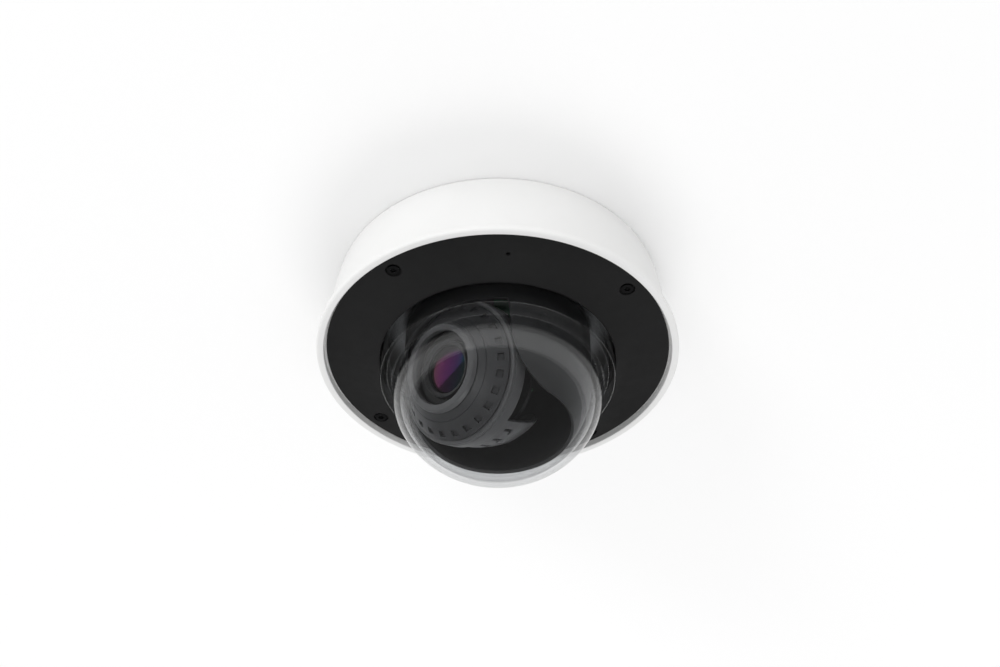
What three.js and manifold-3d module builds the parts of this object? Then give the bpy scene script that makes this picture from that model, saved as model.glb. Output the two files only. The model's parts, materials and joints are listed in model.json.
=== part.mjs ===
// Ceiling dome camera: a white housing, a black face plate, a clear dome and a lens head on pan,
// tilt and roll joints. Millimetres, +Z up. The ceiling face is z = 0 and everything hangs below it.

import * as THREE from "three";
import { mergeVertices } from "three/addons/utils/BufferGeometryUtils.js";
import Module from "manifold-3d";

const wasm = await Module();
wasm.setup();

// ---------------------------------------------------------------- driving sizes

const gap = 0.3;                // between pieces that touch
const slip = 0.6;               // around pieces that turn in one another
const coarse = 10;              // segments round a small piece
const fine = 24;                // round a large one
const broad = 32;               // round the housing, plate and dome

const over = 1;                 // a cut runs past the face that it opens by this much

// white housing
const housingDepth = 41;        // ceiling face to lip plane
const ceilingInset = 7.7;       // the wall leans in to the ceiling by this much
const wallInset = 4;            // wall behind the lip's edge
const wall = 3;
const floorThick = 3;
const lipWidth = 3.4;
const lipHeight = 3;
const ceilingScrewCircle = 66;
const ceilingScrewHole = 2.4;
const coverBossRadius = 4.5;
const chassisBossRadius = 4;
const standoffRadius = 3;
const rootDepth = 0.5;          // posts and shafts run into what they stand on by this much

// black face plate
const plateGap = 1.2;           // slot between lip and plate
const plateWidth = 25.3;        // from the opening to the plate's edge
const plateSetBack = 2.15;      // plate's edge behind the lip plane
const plateThick = 2.2;
const plateEdgeThick = 1.25;
const plateStep = 4.5;          // width of the thin edge
const openingRadius = 55.1;
const openingRise = 3.3;        // opening's rim in front of the lip plane

// clear dome
const collarGap = 0.5;
const collarDrop = 14.9;        // collar's end below the lip plane
const collarRound = 1.7;
const capStep = 5.7;            // cap is narrower than the collar by this much
const domeWall = 2.8;
const capSide = 4.4;            // straight side between collar and cap
const capDepth = 41.95;
const flangeWidth = 5.8;
const flangeThick = 2.5;
const seatWidth = 6.2;          // dome's seat behind the opening
const seatThick = 1.2;

// seals and clamp
const domeSealThick = 1;
const faceSealWidth = 1.8;
const faceSealDepth = 0.8;
const clampThick = 2;
const clampWidth = 4;
const clampTabRadius = 3.4;
const clampScrewOut = 5.6;      // clamp screws stand outside the dome's flange

// cover screws: pan head, six-lobe recess with a centre pin
const coverScrewInset = 6.5;    // from the plate's edge
const coverScrewAngle = 51.44;
const coverScrewCount = 4;
const coverHeadRadius = 2.75;
const coverHeadThick = 0.9;
const coverPocketGap = 0.93;    // round the head
const coverShaftRadius = 1.5;
const coverShaftLength = 9;
const recessRadius = 1.35;
const recessDepth = 1.1;
const pinRadius = 0.45;

// the other screws, and the play round their shafts
const screwPlay = 0.3;
const clampScrewSize = { head: 2.4, headThick: 1.4, shaft: 1.2, length: 5.5 };
const boardScrewSize = { head: 2.6, headThick: 1.6, shaft: 1 };
const chassisScrewSize = { head: 3, headThick: 1.8, shaft: 1.5 };
const sensorScrewSize = { head: 1.9, headThick: 1.2, shaft: 0.8, length: 5 };
const boardScrewBite = 1.8;
const chassisScrewBite = 6;

// microphone behind its hole in the plate
const micInset = 11.4;          // from the plate's edge
const micAngle = -86.3;
const micHoleRadius = 1.05;
const micRadius = 2.6;
const micThick = 1.8;

// main board on the housing's floor
const boardRadius = 55;
const boardThick = 1.6;
const standoffHeight = 2.7;
const standoffInset = 7;        // from the board's edge
const jackWidth = 16;
const jackLength = 21;
const jackHeight = 13;
const jackPlace = 44;           // from the centre, along +Y
const jackFloor = 2;
const jackRoof = 3;
const socketHalfWidth = 5.9;
const socketBack = 4;           // socket's end behind the jack's middle
const grommetRadius = 7.5;
const cableRadius = 3.5;
const grommetPlace = 63;
const grommetLip = 1.8;
const sinkPlace = [-34, -30];   // low corner
const sinkSize = 24;
const sinkHeight = 7;
const sinkFins = 6;
const finWidth = 2.4;
const slotPlace = [29, -22];    // card slot's end and middle
const slotWall = 0.8;
const switchPlace = [-34, 24];
const switchHalf = 3;
const switchHeight = 3.4;

// chassis plate that carries the pan ring
const chassisDrop = 24;         // ceiling face to chassis plate
const chassisThick = 2;
const chassisRadius = 67;
const chassisScrewInset = 6;    // from the chassis edge
const hubRadius = 38.2;
const hubWall = 4;
const turntableThick = 3;
const retainerThick = 1.4;
const retainerLap = 3.4;        // retainer's width outside the hub
const grooveDepth = 0.8;

// shroud and tilt pivot
const pivotDrop = 14;           // pivot below the lip plane
const shroudRadius = 43.8;
const shroudWall = 1.5;
const slotHalfWidth = 34.3;
const slotTop = 13;             // slot's end above the pivot
const armThick = 2.5;
const armHalfWidth = 9.5;
const footThick = 2;
const footReach = 4;            // foot's length towards the middle
const armClearance = 0.9;       // between tilt cradle and yoke arm
const pivotShaft = 2.2;
const pivotHead = 4;
const pivotHeadThick = 1.4;
const pinEnd = 1;               // pin's length outside the arm

// lens head: places are distances ahead of the pivot along the lens axis
const panAngle = -134.5;
const lensElevation = -19.5;
const headRadius = 42.2;        // ball that the head's front follows
const rimRadius = 31.4;
const rimThick = 0.8;
const skirtRadius = 30.2;
const skirtWall = 1.6;
const skirtBack = 17.5;
const faceRadius = 21;          // flat front of the ball
const faceBore = 17.3;
const notchCount = 24;
const notchWidth = 3.2;
const notchDepth = 0.9;
const cradleWall = 2.4;
const cradleBack = 19;
const earHalfWidth = 7;
const bezelInner = 16.6;
const bezelRise = 2.4;
const tongueHalfAngle = 24;
const tongueWall = 1.8;
const ventAngles = [-13, 0, 13];
const ventWidth = 1.8;
const ventFront = 16;
const ventBack = 9.5;
const ventHook = 1.7;           // length of the L's foot

// lens, its rings and their motors
const barrelRadius = 10.6;
const barrelWall = 1.2;
const barrelFront = 36;
const barrelBack = 5;
const nozzleRadius = 13.1;
const nozzleLength = 6;
const frontLensRadius = 11.1;
const lensSeatDepth = 4.8;      // from the nozzle's rim
const lensEdge = 1.6;
const lensCrown = 2.2;
const gearModule = 1;
const ringTeeth = 28;
const pinionTeeth = 9;
const gearWidth = 3.4;
const toothPlay = 0.37;         // taken off each tooth at the pitch line
const zoomPlace = 13.3;
const focusPlace = 20.6;
const zoomAngle = 205;
const focusAngle = 325;
const motorRadius = 3.3;
const motorLength = 9.5;
const motorShaft = 0.8;
const motorBore = 3;            // depth of the can's bore for the shaft
const shaftReach = 2.4;         // shaft's length inside the can
const carrierPlace = 17.8;
const carrierThick = 1.5;

// sensor end
const mountHalfWidth = 15;
const mountHalfHeight = 11;
const mountFront = 4.5;
const mountBack = -2.7;
const mountRim = 2.2;           // flange's width outside the motors
const sliderThick = 1;
const sliderHalfHeight = 4.6;
const filterRadius = 3.2;
const filterStep = 8;           // from one filter to the other
const sensorBoardThick = 1.2;
const sensorScrewPlace = [12.4, 8];
const sensorHalfWidth = 4.2;
const sensorHalfHeight = 3.4;
const sensorThick = 1.1;

// memory card and reset button
const cardWidth = 11;
const cardLength = 15;
const cardThick = 1;
const buttonRadius = 1.7;
const buttonLength = 3.2;
const buttonStroke = 0.5;

// ---------------------------------------------------------------- places worked out from them

const lipZ = -housingDepth;
const plateRadius = openingRadius + plateWidth;
const lipInner = plateRadius + plateGap;
const housingRadius = lipInner + lipWidth;
const coverScrewCircle = plateRadius - coverScrewInset;
const micCircle = plateRadius - micInset;
const plateEdgeZ = lipZ + plateSetBack;
const collarRadius = openingRadius - collarGap;
const capRadius = collarRadius - capStep;
const clampScrewCircle = collarRadius + flangeWidth + clampScrewOut;
const collarZ = lipZ - collarDrop;
const equatorZ = collarZ - capSide;
const seatZ = plateFront(openingRadius + seatWidth) + seatThick;
const sealZ = seatZ + gap;
const flangeZ = sealZ + domeSealThick + gap;
const clampZ = flangeZ + flangeThick + gap;
const ledgeZ = plateEdgeZ + plateEdgeThick + gap;
const ledgeInner = plateRadius - plateStep + slip;
const boardTop = -floorThick - standoffHeight - gap;
const boardBottom = boardTop - boardThick;
const underBoard = boardBottom - gap;
const standoffCircle = boardRadius - standoffInset;
const chassisScrewCircle = chassisRadius - chassisScrewInset;
const chassisTop = -chassisDrop;
const chassisBottom = chassisTop - chassisThick;
const turntableTop = chassisBottom - gap;
const turntableBottom = turntableTop - turntableThick;
const hubTop = chassisTop + 2 * gap + retainerThick + grooveDepth;
const hubInner = hubRadius - hubWall;
const pivotZ = lipZ - pivotDrop;
const cradleInner = skirtRadius + slip;
const cradleOuter = cradleInner + cradleWall;
const armInner = cradleOuter + armClearance;
const armOuter = armInner + armThick;
const rimPlace = Math.sqrt(headRadius ** 2 - rimRadius ** 2);
const facePlace = Math.sqrt(headRadius ** 2 - faceRadius ** 2);
const cradleFront = rimPlace - rimThick - gap;
const ringPitch = gearModule * ringTeeth / 2;
const pinionPitch = gearModule * pinionTeeth / 2;
const gearCentre = ringPitch + pinionPitch;
const mountFlange = gearCentre + motorRadius + mountRim;
const tongueClear = mountFlange + slip + tongueWall;

// front surface of the face plate: flat at its edge, flaring up to the opening
function plateFront(r) {
  const t = (plateRadius - r) / (plateRadius - openingRadius);
  return plateEdgeZ - (plateSetBack + openingRise) * t * t;
}

// ---------------------------------------------------------------- shape helpers

function toSolid(geometry) {
  const bare = geometry.clone();
  bare.deleteAttribute("normal");
  bare.deleteAttribute("uv");
  const merged = mergeVertices(bare, 1e-4);
  const solid = new wasm.Manifold(new wasm.Mesh({
    numProp: 3,
    vertProperties: new Float32Array(merged.attributes.position.array),
    triVerts: dropSlivers(merged.index.array),
  }));
  return solid;
}

// triangles that collapsed onto the axis when their corners were merged are left out
function dropSlivers(index) {
  const kept = [];
  for (let i = 0; i < index.length; i += 3) {
    const [a, b, c] = [index[i], index[i + 1], index[i + 2]];
    if (a !== b && b !== c && c !== a) kept.push(a, b, c);
  }
  return new Uint32Array(kept);
}

function toGeometry(solid) {
  const mesh = solid.getMesh();
  const geometry = new THREE.BufferGeometry();
  geometry.setAttribute("position", new THREE.BufferAttribute(new Float32Array(mesh.vertProperties), 3));
  geometry.setIndex(new THREE.BufferAttribute(new Uint32Array(mesh.triVerts), 1));
  geometry.computeVertexNormals();
  return geometry;
}

// closed outline of [radius, height] pairs turned about Z, whichever way round it is given
function turned(outline, segments = fine) {
  const loop = outline.map(([r, z]) => new THREE.Vector2(r, z));
  if (THREE.ShapeUtils.isClockWise(loop)) loop.reverse();
  const points = [...loop, loop[0]];
  const geometry = new THREE.LatheGeometry(points, segments);
  geometry.rotateX(Math.PI / 2);
  return toSolid(geometry);
}

function tube(inner, outer, low, high, segments = fine) {
  return turned([[inner, low], [outer, low], [outer, high], [inner, high]], segments);
}

function rod(radius, low, high, segments = coarse) {
  const geometry = new THREE.CylinderGeometry(radius, radius, high - low, segments);
  geometry.rotateX(Math.PI / 2);
  geometry.translate(0, 0, (low + high) / 2);
  return toSolid(geometry);
}

function block(low, high) {
  const size = high.map((value, i) => value - low[i]);
  const geometry = new THREE.BoxGeometry(...size);
  geometry.translate(...low.map((value, i) => value + size[i] / 2));
  return toSolid(geometry);
}

// flat outline of [x, y] points raised from low to high
function raised(points, low, high) {
  const shape = new THREE.Shape(points.map(([x, y]) => new THREE.Vector2(x, y)));
  const geometry = new THREE.ExtrudeGeometry(shape, { depth: high - low, bevelEnabled: false });
  geometry.translate(0, 0, low);
  return toSolid(geometry);
}

function polar(radius, degrees) {
  const angle = THREE.MathUtils.degToRad(degrees);
  return [radius * Math.cos(angle), radius * Math.sin(angle)];
}

function at(solid, radius, degrees) {
  return solid.translate([...polar(radius, degrees), 0]);
}

function arc(count, from, to, point) {
  return Array.from({ length: count + 1 }, (_, i) => {
    const angle = THREE.MathUtils.degToRad(from + (to - from) * i / count);
    return point(Math.cos(angle), Math.sin(angle));
  });
}

// pan-head screw along Z: head's face at z = 0, shaft going up
function screw({ head, headThick, shaft, length, recess = 0.45 * head, depth = 0.6 * headThick, sides = 8 }) {
  return turned([
    [0, depth], [recess, depth], [recess, 0], [head * 0.9, 0], [head, headThick * 0.2],
    [head, headThick], [shaft, headThick], [shaft, length], [0, length],
  ], sides);
}

// spur gear about Z: straight-sided teeth
function gear(teeth, low, high) {
  const pitch = gearModule * teeth / 2;
  const tip = pitch + 0.8 * gearModule;
  const root = pitch - 1.15 * gearModule;
  const half = (Math.PI * gearModule / 2 - toothPlay) / 2 / pitch;
  const outline = [];
  for (let i = 0; i < teeth; i++) {
    const middle = 2 * Math.PI * i / teeth;
    for (const [r, side] of [[root, -1.35], [tip, -0.55], [tip, 0.55], [root, 1.35]]) {
      outline.push([r * Math.cos(middle + side * half), r * Math.sin(middle + side * half)]);
    }
  }
  return raised(outline, low, high);
}

// ---------------------------------------------------------------- scene graph and finishes

const group = new THREE.Group();

const pan = new THREE.Group();
pan.position.z = pivotZ;
pan.rotation.z = THREE.MathUtils.degToRad(panAngle);
group.add(pan);

// the head's own axes: Z along the lens, X along the tilt axis, Y up
const head = new THREE.Group();
head.quaternion.setFromAxisAngle(new THREE.Vector3(0, 1, 0), THREE.MathUtils.degToRad(-lensElevation));
head.quaternion.multiply(new THREE.Quaternion().setFromRotationMatrix(new THREE.Matrix4().makeBasis(
  new THREE.Vector3(0, 1, 0), new THREE.Vector3(0, 0, 1), new THREE.Vector3(1, 0, 0))));
pan.add(head);

const finishes = {
  whitePaint: [0xf2f2f0, 0.45, 0],
  blackPlastic: [0x1b1b1c, 0.6, 0],
  greyPlastic: [0x2c2c2e, 0.5, 0],
  clear: [0xe8eef0, 0.05, 0],
  rubber: [0x161616, 0.9, 0],
  steel: [0x8c8e90, 0.35, 1],
  blackSteel: [0x2a2a2b, 0.4, 1],
  aluminium: [0xb4b6b8, 0.4, 1],
  board: [0x14502c, 0.5, 0],
  lensGlass: [0x3a3450, 0.03, 0],
  gearPlastic: [0xd8d4c8, 0.5, 0],
};

function add(parent, name, solid, finish) {
  const [color, roughness, metalness] = finishes[finish];
  const material = new THREE.MeshStandardMaterial({ color, roughness, metalness });
  const mesh = new THREE.Mesh(toGeometry(solid), material);
  mesh.name = name;
  parent.add(mesh);
}

// ---------------------------------------------------------------- housing

const coverAngles = Array.from({ length: coverScrewCount },
  (_, i) => coverScrewAngle + 360 * i / coverScrewCount);
const clampAngles = coverAngles.map((angle) => angle + 30);
const chassisAngles = [30, 150, 270];
const standoffAngles = [0, 120, 240];
const ceilingScrewAngles = [0, 120, 240];
const sealMiddle = (ledgeInner + lipInner) / 2;
const rootZ = -floorThick + rootDepth;

// bowl that hangs from the ceiling: floor against it, leaning wall, and a lip round the face plate
function baseHousing() {
  const topRadius = housingRadius - ceilingInset;
  const wallRadius = housingRadius - wallInset;
  const kinkZ = ledgeZ + 2.1;
  const lean = arc(4, 8, 65, (c, s) => [c, s]);
  const [[lowC, lowS], [highC, highS]] = [lean[0], lean[4]];
  const bulge = lean.map(([c, s]) => [topRadius + (wallRadius - topRadius) * (c - highC) / (lowC - highC),
    kinkZ * (highS - s) / (highS - lowS)]);
  const cavity = topRadius - wall;
  let body = turned([
    [0, -floorThick], [cavity, -floorThick], [ledgeInner, -floorThick - wall], [ledgeInner, ledgeZ],
    [lipInner, ledgeZ], [lipInner, lipZ], [housingRadius - 1, lipZ],
    [housingRadius - 0.3, lipZ + 0.3], [housingRadius, lipZ + 1], [housingRadius, lipZ + lipHeight],
    ...bulge, [0, 0],
  ], broad);
  body = body.subtract(tube(sealMiddle - faceSealWidth / 2 - gap, sealMiddle + faceSealWidth / 2 + gap,
    ledgeZ - over, ledgeZ + faceSealDepth + gap));
  const coverBossZ = plateFront(coverScrewCircle) + plateThick + 2 * gap;
  for (const angle of coverAngles) {
    body = body.add(at(rod(coverBossRadius, coverBossZ, rootZ), coverScrewCircle, angle));
    body = body.subtract(at(rod(coverShaftRadius + gap, coverBossZ - over, coverBossZ + coverShaftLength),
      coverScrewCircle, angle));
  }
  for (const angle of chassisAngles) {
    const hole = rod(chassisScrewSize.shaft + screwPlay, chassisTop - over,
      chassisTop + chassisScrewBite + 2 * over);
    body = body.add(at(rod(chassisBossRadius, chassisTop + gap, rootZ), chassisScrewCircle, angle));
    body = body.subtract(at(hole, chassisScrewCircle, angle));
  }
  for (const angle of standoffAngles) {
    const foot = -floorThick - standoffHeight;
    body = body.add(at(rod(standoffRadius, foot, rootZ), standoffCircle, angle));
    body = body.subtract(at(rod(boardScrewSize.shaft + screwPlay, foot - over, foot + boardScrewBite + over),
      standoffCircle, angle));
  }
  for (const angle of ceilingScrewAngles) {
    body = body.subtract(at(rod(ceilingScrewHole, -floorThick - over, over), ceilingScrewCircle, angle));
  }
  return body.subtract(at(rod(grommetRadius, -floorThick - over, over, 16), grommetPlace, 90));
}

// rubber sleeve in the floor's cable hole, with a flange and a tapered neck on the inner side
function cableGrommet() {
  const waist = grommetRadius - gap;
  return at(turned([
    [cableRadius, -floorThick - 3], [cableRadius + 1.6, -floorThick - 3], [waist, -floorThick - 1.6],
    [grommetRadius + grommetLip, -floorThick - 1.4], [grommetRadius + grommetLip, -floorThick - gap],
    [waist, -floorThick - gap], [waist, -gap], [cableRadius, -gap],
  ], 16), grommetPlace, 90);
}

add(group, "base_housing", baseHousing(), "whitePaint");
add(group, "cable_grommet", cableGrommet(), "rubber");

// ---------------------------------------------------------------- face plate, dome and seals

// flared front cover with the dome's seat, the clamp's bosses and the screw pockets
function facePlate() {
  const seatEnd = openingRadius + seatWidth;
  const rimEnd = seatEnd + seatThick;
  const stepRadius = plateRadius - plateStep;
  const front = Array.from({ length: 5 }, (_, i) => {
    const r = openingRadius + (plateRadius - openingRadius) * i / 4;
    return [r, plateFront(r)];
  });
  const backZ = clampZ - gap;
  let plate = turned([
    ...front, [plateRadius, plateEdgeZ + plateEdgeThick], [stepRadius, plateEdgeZ + plateEdgeThick],
    [stepRadius, plateFront(stepRadius) + plateThick], [rimEnd, plateFront(rimEnd) + plateThick],
    [rimEnd, sealZ + domeSealThick], [seatEnd, sealZ + domeSealThick], [seatEnd, seatZ],
    [openingRadius, seatZ],
  ], broad);
  const screwFace = plateFront(coverScrewCircle);
  const pocket = rod(coverHeadRadius + coverPocketGap, screwFace - plateThick,
    screwFace + coverHeadThick + gap);
  const shaftHole = rod(coverShaftRadius + gap, screwFace - plateThick, screwFace + 3 * plateThick);
  for (const angle of coverAngles) {
    plate = plate.subtract(at(pocket.add(shaftHole), coverScrewCircle, angle));
  }
  const skin = plateFront(clampScrewCircle) + plateThick / 2;
  for (const angle of clampAngles) {
    plate = plate.add(at(rod(clampTabRadius, skin, backZ), clampScrewCircle, angle));
    plate = plate.subtract(at(rod(clampScrewSize.shaft + screwPlay, skin + rootDepth, backZ + over),
      clampScrewCircle, angle));
  }
  const micFace = plateFront(micCircle);
  return plate.subtract(at(rod(micHoleRadius, micFace - plateThick, micFace + 2 * plateThick, 12),
    micCircle, micAngle));
}

// clear bubble: flange behind the seat, straight collar, a small step, then an elliptical cap
function domeBubble() {
  const step = domeWall + 1;
  const inner = collarRadius - domeWall;
  const capInner = capRadius - domeWall;
  const top = flangeZ + flangeThick;
  const outside = arc(6, 0, -90, (c, s) => [capRadius * c, equatorZ + capDepth * s]);
  const inside = arc(6, -90, 0, (c, s) => [capInner * c, equatorZ + (capDepth - domeWall) * s]);
  return turned([
    ...outside.reverse(), [capRadius, collarZ - 1.2], [capRadius + 0.4, collarZ - 0.4],
    [capRadius + 1.4, collarZ],
    ...arc(2, -90, 0, (c, s) => [collarRadius + collarRound * (c - 1), collarZ + collarRound * (s + 1)]),
    [collarRadius, flangeZ], [collarRadius + flangeWidth, flangeZ], [collarRadius + flangeWidth, top],
    [inner, top], [inner, collarZ + step], [inner - 1, collarZ + domeWall],
    [capInner + 1, collarZ + domeWall], [capInner, collarZ + domeWall - 1], ...inside.reverse(),
  ], broad);
}

function clampRing() {
  const clampInner = collarRadius + flangeWidth - clampWidth;
  const clampOuter = clampScrewCircle - 2;
  let ring = tube(clampInner, clampOuter, clampZ, clampZ + clampThick);
  for (const angle of clampAngles) {
    ring = ring.add(at(rod(clampTabRadius, clampZ, clampZ + clampThick), clampScrewCircle, angle));
    ring = ring.subtract(at(rod(clampScrewSize.shaft + screwPlay, clampZ - over, clampZ + clampThick + over),
      clampScrewCircle, angle));
  }
  return ring;
}

function faceGasket() {
  return tube(sealMiddle - faceSealWidth / 2, sealMiddle + faceSealWidth / 2, ledgeZ, ledgeZ + faceSealDepth);
}

function coverScrew(angle) {
  const body = screw({
    head: coverHeadRadius, headThick: coverHeadThick, shaft: coverShaftRadius,
    length: coverShaftLength, recess: recessRadius, depth: recessDepth, sides: 12,
  }).add(rod(pinRadius, 0.15, recessDepth + 0.2, 8));
  return at(body.translate([0, 0, plateFront(coverScrewCircle)]), coverScrewCircle, angle);
}

function clampScrew(angle) {
  const face = clampZ + clampThick + gap + clampScrewSize.headThick;
  return at(screw(clampScrewSize).scale([1, 1, -1]).translate([0, 0, face]), clampScrewCircle, angle);
}

add(group, "face_plate", facePlate(), "blackPlastic");
add(group, "dome_bubble", domeBubble(), "clear");
const domeSeal = tube(openingRadius + 1, collarRadius + flangeWidth, sealZ, sealZ + domeSealThick);
add(group, "dome_gasket", domeSeal, "rubber");
add(group, "dome_clamp_ring", clampRing(), "blackPlastic");
add(group, "face_gasket", faceGasket(), "rubber");
coverAngles.forEach((angle, i) => add(group, `cover_screw_${i + 1}`, coverScrew(angle), "blackSteel"));
clampAngles.forEach((angle, i) => add(group, `clamp_screw_${i + 1}`, clampScrew(angle), "steel"));

const micZ = plateFront(micCircle) + plateThick + 2 * gap;
add(group, "microphone", at(rod(micRadius, micZ, micZ + micThick, 16), micCircle, micAngle), "steel");

// ---------------------------------------------------------------- main board

function mainBoard() {
  let board = rod(boardRadius, boardBottom, boardTop, fine);
  for (const angle of standoffAngles) {
    const hole = rod(boardScrewSize.shaft + 2 * screwPlay, boardBottom - over, boardTop + over, 12);
    board = board.subtract(at(hole, standoffCircle, angle));
  }
  return board;
}

// network jack: a can with a socket that opens towards the cable hole
function ethernetJack() {
  const half = jackWidth / 2;
  const low = underBoard - jackHeight;
  const shell = block([-half, jackPlace - jackLength / 2, low],
    [half, jackPlace + jackLength / 2, underBoard]);
  const socket = block([-socketHalfWidth, jackPlace - socketBack, low + jackFloor],
    [socketHalfWidth, jackPlace + jackLength, underBoard - jackRoof]);
  return shell.subtract(socket);
}

function heatSpreader() {
  const [x, y] = sinkPlace;
  let sink = block([x, y, underBoard - sinkHeight], [x + sinkSize, y + sinkSize, underBoard]);
  const pitch = (sinkSize - finWidth) / (sinkFins - 1);
  for (let i = 0; i < sinkFins - 1; i++) {
    sink = sink.subtract(block([x + pitch * i + finWidth, y - over, underBoard - sinkHeight - over],
      [x + pitch * (i + 1), y + sinkSize + over, underBoard - 2]));
  }
  return sink;
}

function boardScrew(angle) {
  const { headThick } = boardScrewSize;
  const length = headThick + gap + boardThick + gap + boardScrewBite;
  const body = screw({ ...boardScrewSize, length });
  return at(body.translate([0, 0, boardBottom - gap - headThick]), standoffCircle, angle);
}

const cardTop = underBoard - slotWall - gap;

// metal tray under the board; the card goes in along -X
function cardSlot() {
  const [x, y] = slotPlace;
  const half = cardWidth / 2 + gap + slotWall;
  const bottom = cardTop - cardThick - gap;
  const shell = block([x, y - half, bottom - slotWall], [x + cardLength, y + half, underBoard]);
  const way = block([x + slotWall, y - cardWidth / 2 - gap, bottom],
    [x + cardLength + over, y + cardWidth / 2 + gap, cardTop + gap]);
  return shell.subtract(way);
}

function memoryCard() {
  const [x, y] = slotPlace;
  const low = x + slotWall + gap;
  return block([low, y - cardWidth / 2, cardTop - cardThick], [low + cardLength, y + cardWidth / 2, cardTop]);
}

function resetSwitch() {
  const [x, y] = switchPlace;
  const shell = block([x - switchHalf, y - switchHalf, underBoard - switchHeight],
    [x + switchHalf, y + switchHalf, underBoard]);
  const well = rod(buttonRadius + gap, underBoard - switchHeight - over, underBoard - slotWall, 16);
  return shell.subtract(well.translate([x, y, 0]));
}

function resetButton() {
  const top = underBoard - slotWall - gap - buttonStroke;
  return rod(buttonRadius, top - buttonLength, top, 16).translate([...switchPlace, 0]);
}

add(group, "main_board", mainBoard(), "board");
add(group, "ethernet_jack", ethernetJack(), "steel");
add(group, "heat_spreader", heatSpreader(), "aluminium");
standoffAngles.forEach((angle, i) => add(group, `board_screw_${i + 1}`, boardScrew(angle), "steel"));
add(group, "card_slot", cardSlot(), "steel");
add(group, "memory_card", memoryCard(), "blackPlastic");
add(group, "reset_switch", resetSwitch(), "greyPlastic");
add(group, "reset_button", resetButton(), "greyPlastic");

// ---------------------------------------------------------------- pan stage

function chassisPlate() {
  let plate = tube(hubRadius + slip, chassisRadius, chassisBottom, chassisTop);
  for (const angle of chassisAngles) {
    const hole = rod(chassisScrewSize.shaft + screwPlay, chassisBottom - over, chassisTop + over);
    plate = plate.subtract(at(hole, chassisScrewCircle, angle));
  }
  return plate;
}

function chassisScrew(angle) {
  const { headThick } = chassisScrewSize;
  const length = headThick + gap + chassisThick + gap + chassisScrewBite;
  const body = screw({ ...chassisScrewSize, length });
  return at(body.translate([0, 0, chassisBottom - gap - headThick]), chassisScrewCircle, angle);
}

// the pan stage is drawn in the pan group, whose height starts at the pivot
function panLevel(z) {
  return z - pivotZ;
}

// ring under the chassis plate, with a hub up through it and a groove for the retainer
function panTurntable() {
  const groove = hubRadius - grooveDepth;
  const low = panLevel(chassisTop + gap - 0.1);
  const high = panLevel(chassisTop + 2 * gap + retainerThick);
  return turned([
    [hubInner, panLevel(turntableBottom)], [shroudRadius, panLevel(turntableBottom)],
    [shroudRadius, panLevel(turntableTop)], [hubRadius, panLevel(turntableTop)], [hubRadius, low],
    [groove, low], [groove, high], [hubRadius, high], [hubRadius, panLevel(hubTop)],
    [hubInner, panLevel(hubTop)],
  ]);
}

// split ring in the hub's groove
function panRetainer() {
  const low = panLevel(chassisTop + gap + 0.1);
  const ring = tube(hubRadius - grooveDepth + gap, hubRadius + retainerLap, low, low + retainerThick);
  const split = block([-hubRadius - 2 * retainerLap, -2, low - over], [0, 2, low + retainerThick + over]);
  return ring.subtract(split);
}

// side wall of a ball, open below and along the slot that the head tilts in
function innerShroud() {
  const inner = shroudRadius - shroudWall;
  const top = panLevel(turntableBottom - gap);
  const shell = turned([
    ...arc(6, -65, 0, (c, s) => [shroudRadius * c, shroudRadius * s]), [shroudRadius, top], [inner, top],
    ...arc(6, 0, -65, (c, s) => [inner * c, inner * s]),
  ]);
  const reach = shroudRadius + over;
  const well = rod(slotHalfWidth, -reach, -over, fine);
  const slot = block([0, -slotHalfWidth, -reach], [reach, slotHalfWidth, slotTop]);
  return shell.subtract(well).subtract(slot);
}

// upright arm with a foot under the turntable; side is +1 or -1 along Y
function yokeArm(side) {
  const top = panLevel(turntableBottom - gap);
  const upright = block([-armHalfWidth, armInner, 0], [armHalfWidth, armOuter, top]);
  const footEnd = Math.max(armOuter, hubInner + footReach);
  const step = block([-armHalfWidth, armInner - footReach, top - footThick], [armHalfWidth, footEnd, top]);
  const end = rod(armHalfWidth, armInner, armOuter).rotate([-90, 0, 0]);
  const hole = rod(pivotShaft + gap, armInner - over, armOuter + over).rotate([-90, 0, 0]);
  const arm = upright.add(step).add(end).subtract(hole);
  return side > 0 ? arm : arm.mirror([0, 1, 0]);
}

function tiltPin(side) {
  const pin = rod(pivotShaft, cradleInner - gap, armOuter + pinEnd)
    .add(rod(pivotHead, armOuter + gap, armOuter + gap + pivotHeadThick)).rotate([-90, 0, 0]);
  return side > 0 ? pin : pin.mirror([0, 1, 0]);
}

add(group, "chassis_plate", chassisPlate(), "steel");
chassisAngles.forEach((angle, i) => add(group, `chassis_screw_${i + 1}`, chassisScrew(angle), "steel"));
add(pan, "pan_turntable", panTurntable(), "blackPlastic");
add(pan, "pan_retainer_ring", panRetainer(), "steel");
add(pan, "inner_shroud", innerShroud(), "greyPlastic");
add(pan, "yoke_arm_left", yokeArm(1), "blackPlastic");
add(pan, "yoke_arm_right", yokeArm(-1), "blackPlastic");
add(pan, "tilt_pin_left", tiltPin(1), "steel");
add(pan, "tilt_pin_right", tiltPin(-1), "steel");

// ---------------------------------------------------------------- tilt cradle

// ring round the head's skirt, with an ear on each side for the tilt pins
function tiltCradle() {
  let cradle = tube(cradleInner, cradleOuter, cradleBack, cradleFront);
  for (const side of [-1, 1]) {
    const low = side > 0 ? cradleInner : -cradleOuter;
    const ear = block([low, -earHalfWidth, 0], [low + cradleWall, earHalfWidth, cradleBack + over])
      .add(rod(earHalfWidth, low, low + cradleWall).rotate([0, 90, 0]));
    cradle = cradle.add(ear);
  }
  return cradle.subtract(rod(pivotShaft + gap, -cradleOuter - over, cradleOuter + over).rotate([0, 90, 0]));
}

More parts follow.
